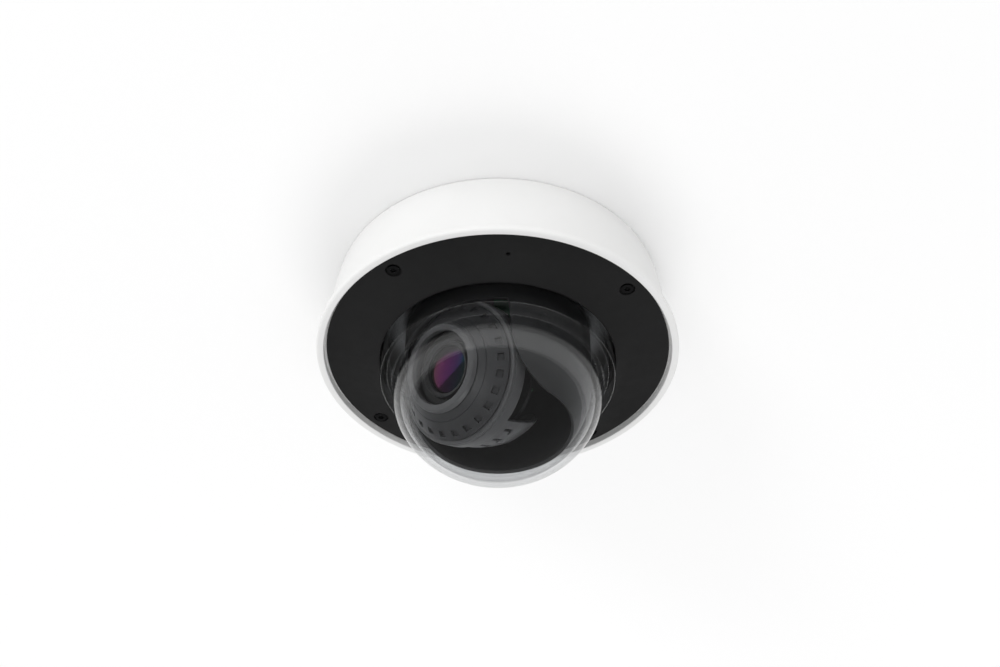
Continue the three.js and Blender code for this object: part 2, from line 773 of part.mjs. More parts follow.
// lower tongue behind the cradle: a strip of a bowl that clears the lens mount, with L-shaped vents
// side by side across it
function rearBracket() {
  const bowl = (inset) => [
    [cradleOuter - 0.6 - inset, cradleBack - gap],
    [Math.max(cradleOuter - 1.2, tongueClear) - inset, 9],
    [Math.max(cradleOuter - 4, tongueClear) - inset, -2],
    [cradleOuter - 9.5 - inset, -10], [cradleOuter - 16.5 - inset, -15],
    [0, -16.5 + inset],
  ];
  const outside = bowl(0);
  const inside = bowl(tongueWall).reverse();
  const shell = turned([...inside, ...outside], fine);
  const reach = 1.5 * cradleOuter;
  const [x, y] = polar(reach, 90 - tongueHalfAngle);
  let tongue = shell.intersect(raised([[0, 6], [-x, -y], [x, -y]], -cradleOuter, cradleOuter));
  const bar = block([0, -reach, ventBack], [ventWidth, 0, ventFront]);
  const hook = block([-ventHook, -reach, ventBack], [ventWidth, 0, ventBack + ventWidth]);
  for (const angle of ventAngles) {
    tongue = tongue.subtract(bar.add(hook).rotate([0, 0, angle]));
  }
  return tongue;
}

add(head, "tilt_cradle", tiltCradle(), "greyPlastic");
add(head, "rear_bracket", rearBracket(), "greyPlastic");

// ---------------------------------------------------------------- roll body

// front of a ball on a skirt that turns in the cradle, with a ring of notches near its rim
function frontShell() {
  const inner = headRadius - skirtWall;
  const rimAngle = THREE.MathUtils.radToDeg(Math.asin(rimRadius / headRadius));
  const faceAngle = THREE.MathUtils.radToDeg(Math.asin(faceRadius / headRadius));
  const insideRim = skirtRadius - skirtWall;
  const insideAngle = THREE.MathUtils.radToDeg(Math.asin(insideRim / inner));
  const insideFace = THREE.MathUtils.radToDeg(Math.asin((faceRadius - 1) / inner));
  let shell = turned([
    [skirtRadius, skirtBack], [skirtRadius, rimPlace - rimThick], [rimRadius, rimPlace - rimThick],
    ...arc(4, rimAngle, faceAngle, (c, s) => [headRadius * s, headRadius * c]),
    [faceBore, facePlace], [faceBore, facePlace - skirtWall],
    ...arc(3, insideFace, insideAngle, (c, s) => [inner * s, inner * c]), [insideRim, skirtBack],
  ]);
  const notchAngle = THREE.MathUtils.radToDeg(Math.asin((rimRadius - 2.4) / headRadius));
  for (let i = 0; i < notchCount; i++) {
    const cut = block([-notchWidth / 2, -1.3, headRadius - notchDepth], [notchWidth / 2, 1.3, headRadius + 2])
      .rotate([notchAngle, 0, 0]).rotate([0, 0, 360 * i / notchCount]);
    shell = shell.subtract(cut);
  }
  return shell;
}

function frontBezel() {
  const base = facePlace + gap;
  const front = base + bezelRise;
  return turned([
    [bezelInner, base], [faceRadius - 0.3, base], [faceRadius - 0.7, front - 0.5],
    [faceRadius - 1.4, front], [bezelInner + 0.6, front], [bezelInner, front - 0.6],
  ]);
}

// lens tube with a wider nozzle that the front lens sits in
function lensBarrel() {
  const shoulder = barrelFront - nozzleLength;
  const bore = barrelRadius - barrelWall;
  const seat = frontLensRadius + gap;
  const seatFloor = barrelFront - lensSeatDepth;
  return turned([
    [bore, barrelBack], [barrelRadius, barrelBack], [barrelRadius, shoulder], [nozzleRadius, shoulder],
    [nozzleRadius, barrelFront], [(seat + nozzleRadius) / 2, barrelFront], [seat, barrelFront - 2],
    [seat, seatFloor], [bore, seatFloor],
  ]);
}

function frontLens() {
  const back = barrelFront - lensSeatDepth + gap;
  const crown = arc(3, 0, 90, (c, s) => [frontLensRadius * c, back + lensEdge + lensCrown * s]);
  return turned([[0, back], [frontLensRadius, back], ...crown]);
}

function rearLens() {
  const radius = barrelRadius - barrelWall - gap;
  const middle = barrelBack + radius / 2;
  const [edge, bulge] = [0.6, 2.2];
  return turned([
    ...arc(3, -90, 0, (c, s) => [radius * c, middle - edge + (bulge - edge) * s]),
    ...arc(3, 0, 90, (c, s) => [radius * c, middle + edge + (bulge - edge) * s]),
  ], 16);
}

// dark ring that closes the space between the nozzle and the shell's bore
function lensBaffle() {
  return tube(nozzleRadius + slip, faceBore - slip, barrelFront - 3.4, barrelFront - 2.2);
}

// plate that holds the lens in the shell, with a way through for the focus motor
function lensCarrier() {
  const back = carrierPlace;
  const front = carrierPlace + carrierThick;
  const way = rod(motorRadius + slip, back - over, front + over);
  return tube(barrelRadius + gap, skirtRadius - skirtWall - slip, back, front)
    .subtract(at(way, gearCentre, focusAngle));
}

// block behind the lens with a cross way for the filter slider; the sensor board closes its back
function lensMount() {
  const bore = barrelRadius - barrelWall;
  const flangeBack = mountFront - 2;
  const flange = rod(mountFlange, flangeBack, mountFront, fine);
  const box = block([-mountHalfWidth, -mountHalfHeight, mountBack],
    [mountHalfWidth, mountHalfHeight, mountFront]);
  const middle = (mountFront + mountBack) / 2;
  const way = block([-mountHalfWidth - over, -sliderHalfHeight - gap, middle - sliderThick / 2 - gap],
    [mountHalfWidth + over, sliderHalfHeight + gap, middle + sliderThick / 2 + gap]);
  let mount = flange.add(box).subtract(rod(bore, mountBack - over, mountFront + over)).subtract(way);
  const motorWay = rod(motorRadius + slip, flangeBack - over, mountFront + over);
  mount = mount.subtract(at(motorWay, gearCentre, zoomAngle));
  const [x, y] = sensorScrewPlace;
  for (const side of [-1, 1]) {
    const hole = rod(sensorScrewSize.shaft + screwPlay, mountBack - over, flangeBack, 12);
    mount = mount.subtract(hole.translate([side * x, side * y, 0]));
  }
  return mount;
}

function filterSlider() {
  const middle = (mountFront + mountBack) / 2;
  const reach = filterRadius + 1.2;
  let slider = block([-filterStep - reach, -sliderHalfHeight, middle - sliderThick / 2],
    [reach, sliderHalfHeight, middle + sliderThick / 2]);
  for (const x of [0, -filterStep]) {
    const pane = rod(filterRadius, middle - sliderThick, middle + sliderThick, 16);
    slider = slider.subtract(pane.translate([x, 0, 0]));
  }
  return slider;
}

const sensorBack = mountBack - 0.1;
const sensorBoardFront = sensorBack - gap;

function sensorBoard() {
  let board = block([-mountHalfWidth, -mountHalfHeight, sensorBoardFront - sensorBoardThick],
    [mountHalfWidth, mountHalfHeight, sensorBoardFront]);
  const [x, y] = sensorScrewPlace;
  for (const side of [-1, 1]) {
    const hole = rod(sensorScrewSize.shaft + screwPlay, sensorBoardFront - 2 * sensorBoardThick,
      sensorBoardFront + over, 12);
    board = board.subtract(hole.translate([side * x, side * y, 0]));
  }
  return board;
}

function sensorScrew(side) {
  const [x, y] = sensorScrewPlace;
  const face = sensorBoardFront - sensorBoardThick - gap - sensorScrewSize.headThick;
  return screw(sensorScrewSize).translate([side * x, side * y, face]);
}

function gearRing(place) {
  return gear(ringTeeth, place, place + gearWidth)
    .subtract(rod(barrelRadius + gap, place - over, place + gearWidth + over, fine));
}

// motor can behind its pinion, with a bore for the shaft
function ringMotor(place, angle) {
  const front = place - gap;
  const can = rod(motorRadius, front - motorLength, front, 20);
  return at(can.subtract(rod(motorShaft + gap, front - motorBore, front + over)), gearCentre, angle);
}

// pinion turned so that its teeth fall between the ring's
function ringPinion(place, angle) {
  const ringPhase = angle % (360 / ringTeeth) * ringTeeth / pinionTeeth;
  const turn = angle + 180 + 180 / pinionTeeth + ringPhase;
  const body = gear(pinionTeeth, place, place + gearWidth).rotate([0, 0, turn])
    .add(rod(motorShaft, place - gap - shaftReach, place + rootDepth));
  return at(body, gearCentre, angle);
}

add(head, "front_shell", frontShell(), "blackPlastic");
add(head, "front_bezel", frontBezel(), "greyPlastic");
add(head, "lens_baffle", lensBaffle(), "rubber");
add(head, "lens_barrel", lensBarrel(), "blackPlastic");
add(head, "front_lens", frontLens(), "lensGlass");
add(head, "rear_lens", rearLens(), "lensGlass");
add(head, "lens_carrier", lensCarrier(), "blackPlastic");
add(head, "lens_mount", lensMount(), "blackPlastic");
add(head, "filter_slider", filterSlider(), "blackPlastic");
const imageSensor = block([-sensorHalfWidth, -sensorHalfHeight, sensorBack],
  [sensorHalfWidth, sensorHalfHeight, sensorBack + sensorThick]);
add(head, "image_sensor", imageSensor, "lensGlass");
add(head, "sensor_board", sensorBoard(), "board");
add(head, "sensor_screw_1", sensorScrew(1), "steel");
add(head, "sensor_screw_2", sensorScrew(-1), "steel");
add(head, "zoom_ring", gearRing(zoomPlace), "gearPlastic");
add(head, "zoom_pinion", ringPinion(zoomPlace, zoomAngle), "gearPlastic");
add(head, "zoom_motor", ringMotor(zoomPlace, zoomAngle), "steel");
add(head, "focus_ring", gearRing(focusPlace), "gearPlastic");
add(head, "focus_pinion", ringPinion(focusPlace, focusAngle), "gearPlastic");
add(head, "focus_motor", ringMotor(focusPlace, focusAngle), "steel");

export default group;
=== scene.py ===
import json
import math
import bmesh
import bpy
import numpy as np
from mathutils import Matrix, Vector

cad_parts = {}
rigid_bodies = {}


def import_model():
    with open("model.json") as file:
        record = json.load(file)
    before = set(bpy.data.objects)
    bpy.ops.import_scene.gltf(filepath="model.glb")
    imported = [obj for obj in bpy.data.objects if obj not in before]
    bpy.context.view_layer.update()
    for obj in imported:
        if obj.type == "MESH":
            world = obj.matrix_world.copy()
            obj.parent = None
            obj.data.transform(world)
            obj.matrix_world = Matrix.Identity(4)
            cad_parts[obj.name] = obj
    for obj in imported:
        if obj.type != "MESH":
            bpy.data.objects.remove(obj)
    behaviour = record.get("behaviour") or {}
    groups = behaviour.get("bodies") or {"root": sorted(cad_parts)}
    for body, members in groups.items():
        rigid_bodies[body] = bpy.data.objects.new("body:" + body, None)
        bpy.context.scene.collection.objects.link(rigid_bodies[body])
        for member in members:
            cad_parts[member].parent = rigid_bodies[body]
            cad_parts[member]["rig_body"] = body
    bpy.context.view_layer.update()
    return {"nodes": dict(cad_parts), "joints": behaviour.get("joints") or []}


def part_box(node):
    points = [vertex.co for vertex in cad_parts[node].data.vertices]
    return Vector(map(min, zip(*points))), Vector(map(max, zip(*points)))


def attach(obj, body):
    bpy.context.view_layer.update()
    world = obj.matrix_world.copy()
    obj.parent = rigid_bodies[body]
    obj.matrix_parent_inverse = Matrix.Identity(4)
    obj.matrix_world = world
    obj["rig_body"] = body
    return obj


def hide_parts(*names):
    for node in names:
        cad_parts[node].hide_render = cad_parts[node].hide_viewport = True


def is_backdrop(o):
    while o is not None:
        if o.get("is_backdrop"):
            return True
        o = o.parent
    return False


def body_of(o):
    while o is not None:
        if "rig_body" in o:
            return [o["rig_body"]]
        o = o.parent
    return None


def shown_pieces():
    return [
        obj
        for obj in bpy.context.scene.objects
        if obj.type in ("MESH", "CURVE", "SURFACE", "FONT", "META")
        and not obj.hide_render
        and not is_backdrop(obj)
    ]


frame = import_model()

mm = 0.001
print("frame loaded:", len(frame["nodes"]), "nodes")


# places read from the frame

def edge(node, corner, axis):
    # one coordinate of a node's box in millimetres; corner 0 is its low side and 1 its high side
    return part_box(node)[corner][axis] / mm


jointOf = {joint["name"]: joint for joint in frame["joints"]}
pivot = np.array(jointOf["tilt"]["pos_m"]) / mm
lensAxis = np.array(jointOf["roll"]["axis"])
lensAxis = lensAxis / np.linalg.norm(lensAxis)
tiltAxis = np.array(jointOf["tilt"]["axis"])
tiltAxis = tiltAxis / np.linalg.norm(tiltAxis)
headUp = np.cross(lensAxis, tiltAxis)
panForward = np.array([lensAxis[0], lensAxis[1], 0.0])
panForward = panForward / np.linalg.norm(panForward)

# rows are the directions of local X, Y and Z
rowAxes = np.eye(3)
headAxes = np.array([tiltAxis, headUp, lensAxis])
panAxes = np.array([panForward, tiltAxis, [0.0, 0.0, 1.0]])
rowPlace = (rowAxes, np.zeros(3))
headPlace = (headAxes, pivot)
panPlace = (panAxes, pivot)


def extent(node, place):
    # lowest and highest corner of a node in local axes, in millimetres
    mesh = frame["nodes"][node].data
    co = np.empty(len(mesh.vertices) * 3)
    mesh.vertices.foreach_get("co", co)
    local = (co.reshape(-1, 3) / mm - place[1]) @ place[0].T
    return local.min(0), local.max(0)


lipZ = edge("base_housing", 0, 2)
housingRadius = edge("base_housing", 1, 0)
plateRadius = edge("face_plate", 1, 0)
domeBottom = edge("dome_bubble", 0, 2)
domeTop = edge("dome_bubble", 1, 2)


# mesh helpers

def makePiece(name, verts, faces, place, body, material, replaced=(), smooth=40):
    # world = (local . axes + origin) in metres; corners that lie on each other are merged, which closes
    # seams and poles
    world = (np.asarray(verts, float) @ place[0] + place[1]) * mm
    mesh = bpy.data.meshes.new(name)
    mesh.from_pydata(world.tolist(), [], np.asarray(faces).tolist())
    tidy = bmesh.new()
    tidy.from_mesh(mesh)
    bmesh.ops.remove_doubles(tidy, verts=tidy.verts, dist=1e-6)
    bmesh.ops.dissolve_degenerate(tidy, edges=tidy.edges, dist=1e-7)
    bmesh.ops.recalc_face_normals(tidy, faces=tidy.faces)
    tidy.to_mesh(mesh)
    tidy.free()
    mesh.shade_smooth()
    mesh.set_sharp_from_angle(angle=math.radians(smooth))
    piece = bpy.data.objects.new(name, mesh)
    bpy.context.scene.collection.objects.link(piece)
    mesh.materials.append(material)
    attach(piece, body)
    if replaced:
        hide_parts(*replaced)
    return piece


def gridFaces(rows, columns, closeRows=False, closeColumns=True):
    # quads of a grid numbered row by row
    i = np.arange(rows if closeRows else rows - 1)
    j = np.arange(columns if closeColumns else columns - 1)
    i, j = np.meshgrid(i, j, indexing="ij")
    nextI, nextJ = (i + 1) % rows, (j + 1) % columns
    return np.stack([i * columns + j, i * columns + nextJ, nextI * columns + nextJ, nextI * columns + j],
                    -1).reshape(-1, 4)


def rounded(corners, steps=5):
    # (r, z, fillet) corners of a closed outline, each replaced by an arc that is tangent to both sides
    pts = np.array([corner[:2] for corner in corners], float)
    out = []
    for k, corner in enumerate(corners):
        p, before, after = pts[k], pts[k - 1], pts[(k + 1) % len(pts)]
        radius = corner[2] if len(corner) > 2 else 0
        a, b = before - p, after - p
        la, lb = np.linalg.norm(a), np.linalg.norm(b)
        a, b = a / la, b / lb
        half = math.acos(np.clip(a @ b, -1, 1)) / 2
        if radius <= 0 or half > 1.55 or half < 0.02:
            out.append(p)
            continue
        reach = min(radius / math.tan(half), 0.49 * la, 0.49 * lb)
        radius = reach * math.tan(half)
        middle = p + (a + b) / np.linalg.norm(a + b) * radius / math.sin(half)
        start, end = p + a * reach - middle, p + b * reach - middle
        turn = math.atan2(start[0] * end[1] - start[1] * end[0], start @ end)
        for t in np.linspace(0, turn, steps):
            c, s = math.cos(t), math.sin(t)
            out.append(middle + [c * start[0] - s * start[1], s * start[0] + c * start[1]])
    return np.array(out)


def turnedGrid(outline, segments, wave=None):
    # surface of revolution (r cos t, r sin t, z); a wave w makes the radius r (1 + w cos 6t)
    t = np.linspace(0, 2 * math.pi, segments, endpoint=False)
    r = outline[:, 0, None] * np.ones_like(t)
    if wave is not None:
        r = r * (1 + wave[:, None] * np.cos(6 * t))
    z = outline[:, 1, None] * np.ones_like(t)
    return np.stack([r * np.cos(t), r * np.sin(t), z], -1).reshape(-1, 3)


def turnedPiece(name, outline, place, body, material, replaced=(), segments=160, smooth=40, wave=None):
    # outline closed on itself; points on the axis shrink to poles
    verts = turnedGrid(outline, segments, wave)
    faces = gridFaces(len(outline), segments, closeRows=True)
    onAxis = outline[:, 0] < 1e-6
    if onAxis.any():
        rows = np.arange(len(outline)).repeat(segments)
        bothOnAxis = onAxis[rows] & onAxis[(rows + 1) % len(outline)]
        faces = faces[~bothOnAxis]
    return makePiece(name, verts, faces, place, body, material, replaced, smooth)


def refined(node, name, material, bevel=0.25, segments=2):
    # smooth-edged copy of a plain CAD solid: merged, flat faces joined, edges bevelled
    source = frame["nodes"][node]
    mesh = source.data.copy()
    mesh.name = name
    work = bmesh.new()
    work.from_mesh(mesh)
    bmesh.ops.remove_doubles(work, verts=work.verts, dist=1e-6)
    bmesh.ops.dissolve_limit(work, angle_limit=math.radians(2), verts=work.verts, edges=work.edges)
    work.to_mesh(mesh)
    work.free()
    mesh.shade_smooth()
    mesh.set_sharp_from_angle(angle=math.radians(40))
    piece = bpy.data.objects.new(name, mesh)
    bpy.context.scene.collection.objects.link(piece)
    mesh.materials.clear()
    mesh.materials.append(material)
    edges = piece.modifiers.new("edges", "BEVEL")
    edges.width = bevel * mm
    edges.segments = segments
    edges.limit_method = "ANGLE"
    edges.angle_limit = math.radians(35)
    edges.use_clamp_overlap = True
    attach(piece, body_of(source)[0])
    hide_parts(node)
    return piece


# finishes

def newFinish(name):
    finish = bpy.data.materials.new(name)
    finish.use_nodes = True
    tree = finish.node_tree
    shader = tree.nodes["Principled BSDF"]
    place = tree.nodes.new("ShaderNodeTexCoord")
    return finish, tree, shader, place.outputs["Object"]


def addNode(tree, kind, values, links):
    # shader node with some of its sockets set to a value and others linked to an output
    node = tree.nodes.new("ShaderNode" + kind)
    for key, value in values.items():
        node.inputs[key].default_value = value
    for key, output in links.items():
        tree.links.new(output, node.inputs[key])
    return node


def mixed(tree, share, first, second):
    # the surface shows first where share is 0 and second where it is 1
    mix = addNode(tree, "MixShader", {}, {"Fac": share, 1: first, 2: second})
    tree.links.new(mix.outputs["Shader"], tree.nodes["Material Output"].inputs["Surface"])


def power(tree, value, exponent):
    node = addNode(tree, "Math", {1: exponent}, {0: value})
    node.operation = "POWER"
    return node.outputs[0]


def noiseOn(tree, place, perMetre, detail, roughness=0.55):
    noise = addNode(tree, "TexNoise", {"Scale": perMetre, "Detail": detail, "Roughness": roughness},
                    {"Vector": place})
    return noise.outputs["Fac"]


def spread(tree, value, low, high, fromLow=0.3, fromHigh=0.7):
    # value remapped in a straight line from one range to another
    ends = {"From Min": fromLow, "From Max": fromHigh, "To Min": low, "To Max": high}
    return addNode(tree, "MapRange", ends, {"Value": value}).outputs["Result"]


def tinted(tree, value, dark, light):
    ramp = addNode(tree, "ValToRGB", {}, {"Fac": value})
    ramp.color_ramp.elements[0].position = 0.3
    ramp.color_ramp.elements[0].color = (*dark, 1)
    ramp.color_ramp.elements[1].position = 0.7
    ramp.color_ramp.elements[1].color = (*light, 1)
    return ramp.outputs["Color"]


def bumped(tree, shader, heights):
    # heights: (noise output, distance in metres), one bump on top of the other
    normal = None
    for value, distance in heights:
        bump = addNode(tree, "Bump", {"Distance": distance}, {"Height": value})
        if normal is not None:
            tree.links.new(normal, bump.inputs["Normal"])
        normal = bump.outputs["Normal"]
    tree.links.new(normal, shader.inputs["Normal"])


def coatedFinish(name, dark, light, roughLow, roughHigh, grainPerMetre, grainDepth=0.00001,
                 metallic=0.0, patchPerMetre=18.0, wavePerMetre=260.0, waveDepth=0.0, stretch=None):
    # colour drifts between two tones over broad patches; roughness follows a finer noise;
    # the grain is a fine bump with an optional slow wave under it
    finish, tree, shader, place = newFinish(name)
    if stretch:
        place = addNode(tree, "Mapping", {"Scale": stretch}, {"Vector": place}).outputs["Vector"]
    patches = noiseOn(tree, place, patchPerMetre, 5.0)
    grain = noiseOn(tree, place, grainPerMetre, 3.0, 0.6)
    tree.links.new(tinted(tree, patches, dark, light), shader.inputs["Base Color"])
    tree.links.new(spread(tree, noiseOn(tree, place, patchPerMetre * 9, 6.0), roughLow, roughHigh),
                   shader.inputs["Roughness"])
    shader.inputs["Metallic"].default_value = metallic
    heights = [(grain, grainDepth)]
    if waveDepth:
        heights.insert(0, (noiseOn(tree, place, wavePerMetre, 2.0), waveDepth))
    bumped(tree, shader, heights)
    return finish


whitePaint = coatedFinish("powderCoat", (0.75, 0.75, 0.745), (0.79, 0.79, 0.785), 0.38, 0.46, 2600,
                          waveDepth=0.00002)
platePlastic = coatedFinish("platePlastic", (0.0105, 0.0105, 0.0108), (0.0145, 0.0145, 0.0148),
                            0.50, 0.60, 3800, 0.00003)
shroudPlastic = coatedFinish("shroudPlastic", (0.019, 0.019, 0.0195), (0.025, 0.025, 0.0255),
                             0.40, 0.48, 4200, 0.000012)
headPlastic = coatedFinish("headPlastic", (0.022, 0.022, 0.023), (0.030, 0.030, 0.031),
                           0.36, 0.44, 4200, 0.000012)
trimPlastic = coatedFinish("trimPlastic", (0.052, 0.052, 0.053), (0.068, 0.068, 0.069), 0.34, 0.42, 4200)
sealRubber = coatedFinish("sealRubber", (0.010, 0.010, 0.010), (0.016, 0.016, 0.016),
                          0.72, 0.85, 2400, 0.00003)
blackSteel = coatedFinish("blackSteel", (0.045, 0.045, 0.047), (0.070, 0.070, 0.072), 0.28, 0.42, 3000,
                          metallic=1.0)
zincSteel = coatedFinish("zincSteel", (0.50, 0.51, 0.52), (0.62, 0.63, 0.64), 0.26, 0.42, 900,
                         metallic=1.0, patchPerMetre=60, stretch=(1, 1, 6))
milledAluminium = coatedFinish("milledAluminium", (0.55, 0.56, 0.57), (0.66, 0.67, 0.68), 0.30, 0.44, 700,
                               metallic=1.0, patchPerMetre=40, stretch=(8, 1, 1))
boardGreen = coatedFinish("solderMask", (0.008, 0.075, 0.028), (0.013, 0.105, 0.042), 0.28, 0.38, 1500,
                          patchPerMetre=120)
chipBlack = coatedFinish("chipBlack", (0.014, 0.014, 0.015), (0.022, 0.022, 0.023), 0.5, 0.62, 3000)
gearAcetal = coatedFinish("gearAcetal", (0.56, 0.53, 0.45), (0.64, 0.61, 0.52), 0.36, 0.46, 2200)
print("finishes made")


clearWall = {
    "square": 0.035,         # share mirrored by one face when seen square on
    "throughTint": (0.955, 0.96, 0.965),
    "slantTint": (0.74, 0.745, 0.75),
}


def clearPlastic():
    # thin clear wall whose two faces run side by side, so what is behind it isn't displaced: each face
    # mirrors f = square + (1 - square) (1 - cos)^5 and lets 1 - f through, more tinted at a slant, where
    # the way through the wall is longer
    finish, tree, shader, place = newFinish("clearDome")
    shader.inputs["Base Color"].default_value = (0.97, 0.97, 0.97, 1)
    shader.inputs["Metallic"].default_value = 1.0
    shader.inputs["Roughness"].default_value = 0.0
    bumped(tree, shader, [(noiseOn(tree, place, 30, 1.0), 0.000004)])
    facing = addNode(tree, "LayerWeight", {"Blend": 0.5}, {}).outputs["Facing"]
    share = addNode(tree, "MapRange", {"To Min": clearWall["square"]}, {"Value": power(tree, facing, 5.0)})
    tint = tree.nodes.new("ShaderNodeMix")
    tint.data_type = "RGBA"
    colours = [socket for socket in tint.inputs if socket.type == "RGBA"]
    colours[0].default_value = (*clearWall["throughTint"], 1)
    colours[1].default_value = (*clearWall["slantTint"], 1)
    tree.links.new(power(tree, facing, 3.0), tint.inputs["Factor"])
    passing = tree.nodes.new("ShaderNodeBsdfTransparent")
    tree.links.new([socket for socket in tint.outputs if socket.type == "RGBA"][0], passing.inputs["Color"])
    mixed(tree, share.outputs["Result"], passing.outputs["BSDF"], shader.outputs["BSDF"])
    return finish


def lensGlass(name, film, tone):
    # coated optical glass: a thin film tints the reflections and the glass under it is dark
    finish, tree, shader, place = newFinish(name)
    tint = tinted(tree, noiseOn(tree, place, 90, 3.0), tone, [1.6 * part for part in tone])
    tree.links.new(tint, shader.inputs["Base Color"])
    shader.inputs["Roughness"].default_value = 0.03
    shader.inputs["IOR"].default_value = 1.7
    shader.inputs["Transmission Weight"].default_value = 0.85
    shader.inputs["Thin Film Thickness"].default_value = film
    shader.inputs["Thin Film IOR"].default_value = 1.38
    return finish


clearDome = clearPlastic()
frontGlass = lensGlass("frontLensGlass", 560.0, (0.012, 0.011, 0.014))
rearGlass = lensGlass("rearLensGlass", 300.0, (0.020, 0.012, 0.026))


# camera, stage and light

view = {
    "place": (0.0, -0.5002, -0.4722),   # metres
    "lens": 50.54,                      # mm on a 36 mm sensor
    "pitch": 41.826,                    # degrees above level
    "yaw": 0.117,                       # degrees towards +X
}


def makeCamera():
    pitch, yaw = math.radians(view["pitch"]), math.radians(view["yaw"])
    forward = Vector((math.sin(yaw) * math.cos(pitch), math.cos(yaw) * math.cos(pitch), math.sin(pitch)))
    right = Vector((math.cos(yaw), -math.sin(yaw), 0))
    turn = Matrix((right, right.cross(forward), -forward)).transposed()
    data = bpy.data.cameras.new("camera")
    data.lens, data.sensor_width = view["lens"], 36.0
    camera = bpy.data.objects.new("camera", data)
    camera.matrix_world = Matrix.Translation(view["place"]) @ turn.to_4x4()
    bpy.context.scene.collection.objects.link(camera)
    bpy.context.scene.camera = camera


stage = {
    "height": 0.0002,        # ceiling above the housing's face, metres
    "hole": 0.0766,
    "half": 4.0,
    "albedo": 0.93,
    "roomDiffuse": 0.90,     # room as it lights dull surfaces
    "roomGloss": 0.16,       # room as it shows in reflections
    "roomSeen": 0.80,        # backdrop in views from above
}


def makeCeiling():
    # plain ring that shows from below only, with a hole behind the housing's ceiling face, so that views
    # from above see the housing's back and light reaches it
    finish = bpy.data.materials.new("ceilingPaint")
    finish.use_nodes = True
    tree = finish.node_tree
    shader = tree.nodes["Principled BSDF"]
    shader.inputs["Base Color"].default_value = (stage["albedo"],) * 3 + (1,)
    shader.inputs["Roughness"].default_value = 0.8
    side = tree.nodes.new("ShaderNodeNewGeometry")
    passing = tree.nodes.new("ShaderNodeBsdfTransparent")
    mixed(tree, side.outputs["Backfacing"], shader.outputs["BSDF"], passing.outputs["BSDF"])
    ring = np.array([[stage["hole"], stage["height"]], [stage["half"], stage["height"]]])
    mesh = bpy.data.meshes.new("ceiling")
    mesh.from_pydata(turnedGrid(ring, 128).tolist(), [], gridFaces(2, 128).tolist())
    if mesh.polygons[0].normal.z > 0:
        mesh.flip_normals()
    mesh.materials.append(finish)
    ceiling = bpy.data.objects.new("ceiling", mesh)
    bpy.context.scene.collection.objects.link(ceiling)
    ceiling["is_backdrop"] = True


def makeWorld():
    # one pale room: bright where it lights dull surfaces, dim where a glossy surface mirrors it
    world = bpy.data.worlds.new("room")
    bpy.context.scene.world = world
    world.use_nodes = True
    tree = world.node_tree
    tree.nodes.clear()
    ray = tree.nodes.new("ShaderNodeLightPath")
    rooms = [addNode(tree, "Background", {"Color": (1, 1, 1, 1), "Strength": stage[key]}, {}).outputs[0]
             for key in ("roomDiffuse", "roomGloss", "roomSeen")]
    gloss = addNode(tree, "MixShader", {}, {"Fac": ray.outputs["Is Glossy Ray"], 1: rooms[0], 2: rooms[1]})
    seen = addNode(tree, "MixShader", {},
                   {"Fac": ray.outputs["Is Camera Ray"], 1: gloss.outputs[0], 2: rooms[2]})
    addNode(tree, "OutputWorld", {}, {"Surface": seen.outputs[0]})


def softLight(name, place, aim, size, watts, gloss=True, onto=None):
    # disc aimed at a point; with a collection it lights only what is in it
    data = bpy.data.lights.new(name, "AREA")
    data.shape, data.size, data.energy = "DISK", size, watts
    light = bpy.data.objects.new(name, data)
    light.location = place
    light.rotation_euler = (Vector(aim) - Vector(place)).to_track_quat("-Z", "Y").to_euler()
    light.visible_glossy = gloss
    light.visible_camera = False
    if onto:
        light.light_linking.receiver_collection = onto
    bpy.context.scene.collection.objects.link(light)


makeCamera()
makeCeiling()
makeWorld()
softLight("keyBelow", (0.3, 1.7, -2.0), (0, 0, -0.03), 1.8, 15, gloss=False)
softLight("wallFill", (-1.2, -2.2, -0.40), (0, 0, -0.02), 1.0, 22, gloss=False)
softLight("topFill", (0.6, -0.8, 1.3), (0, 0, 0), 1.2, 14, gloss=False)
bpy.context.scene.view_settings.view_transform = "Standard"
print("camera, ceiling and light placed")


# surfaces with holes in a polar grid

def ringFaces(first, second):
    # quads between two closed rings of vertex numbers
    return np.stack([first, np.roll(first, -1), np.roll(second, -1), second], -1)


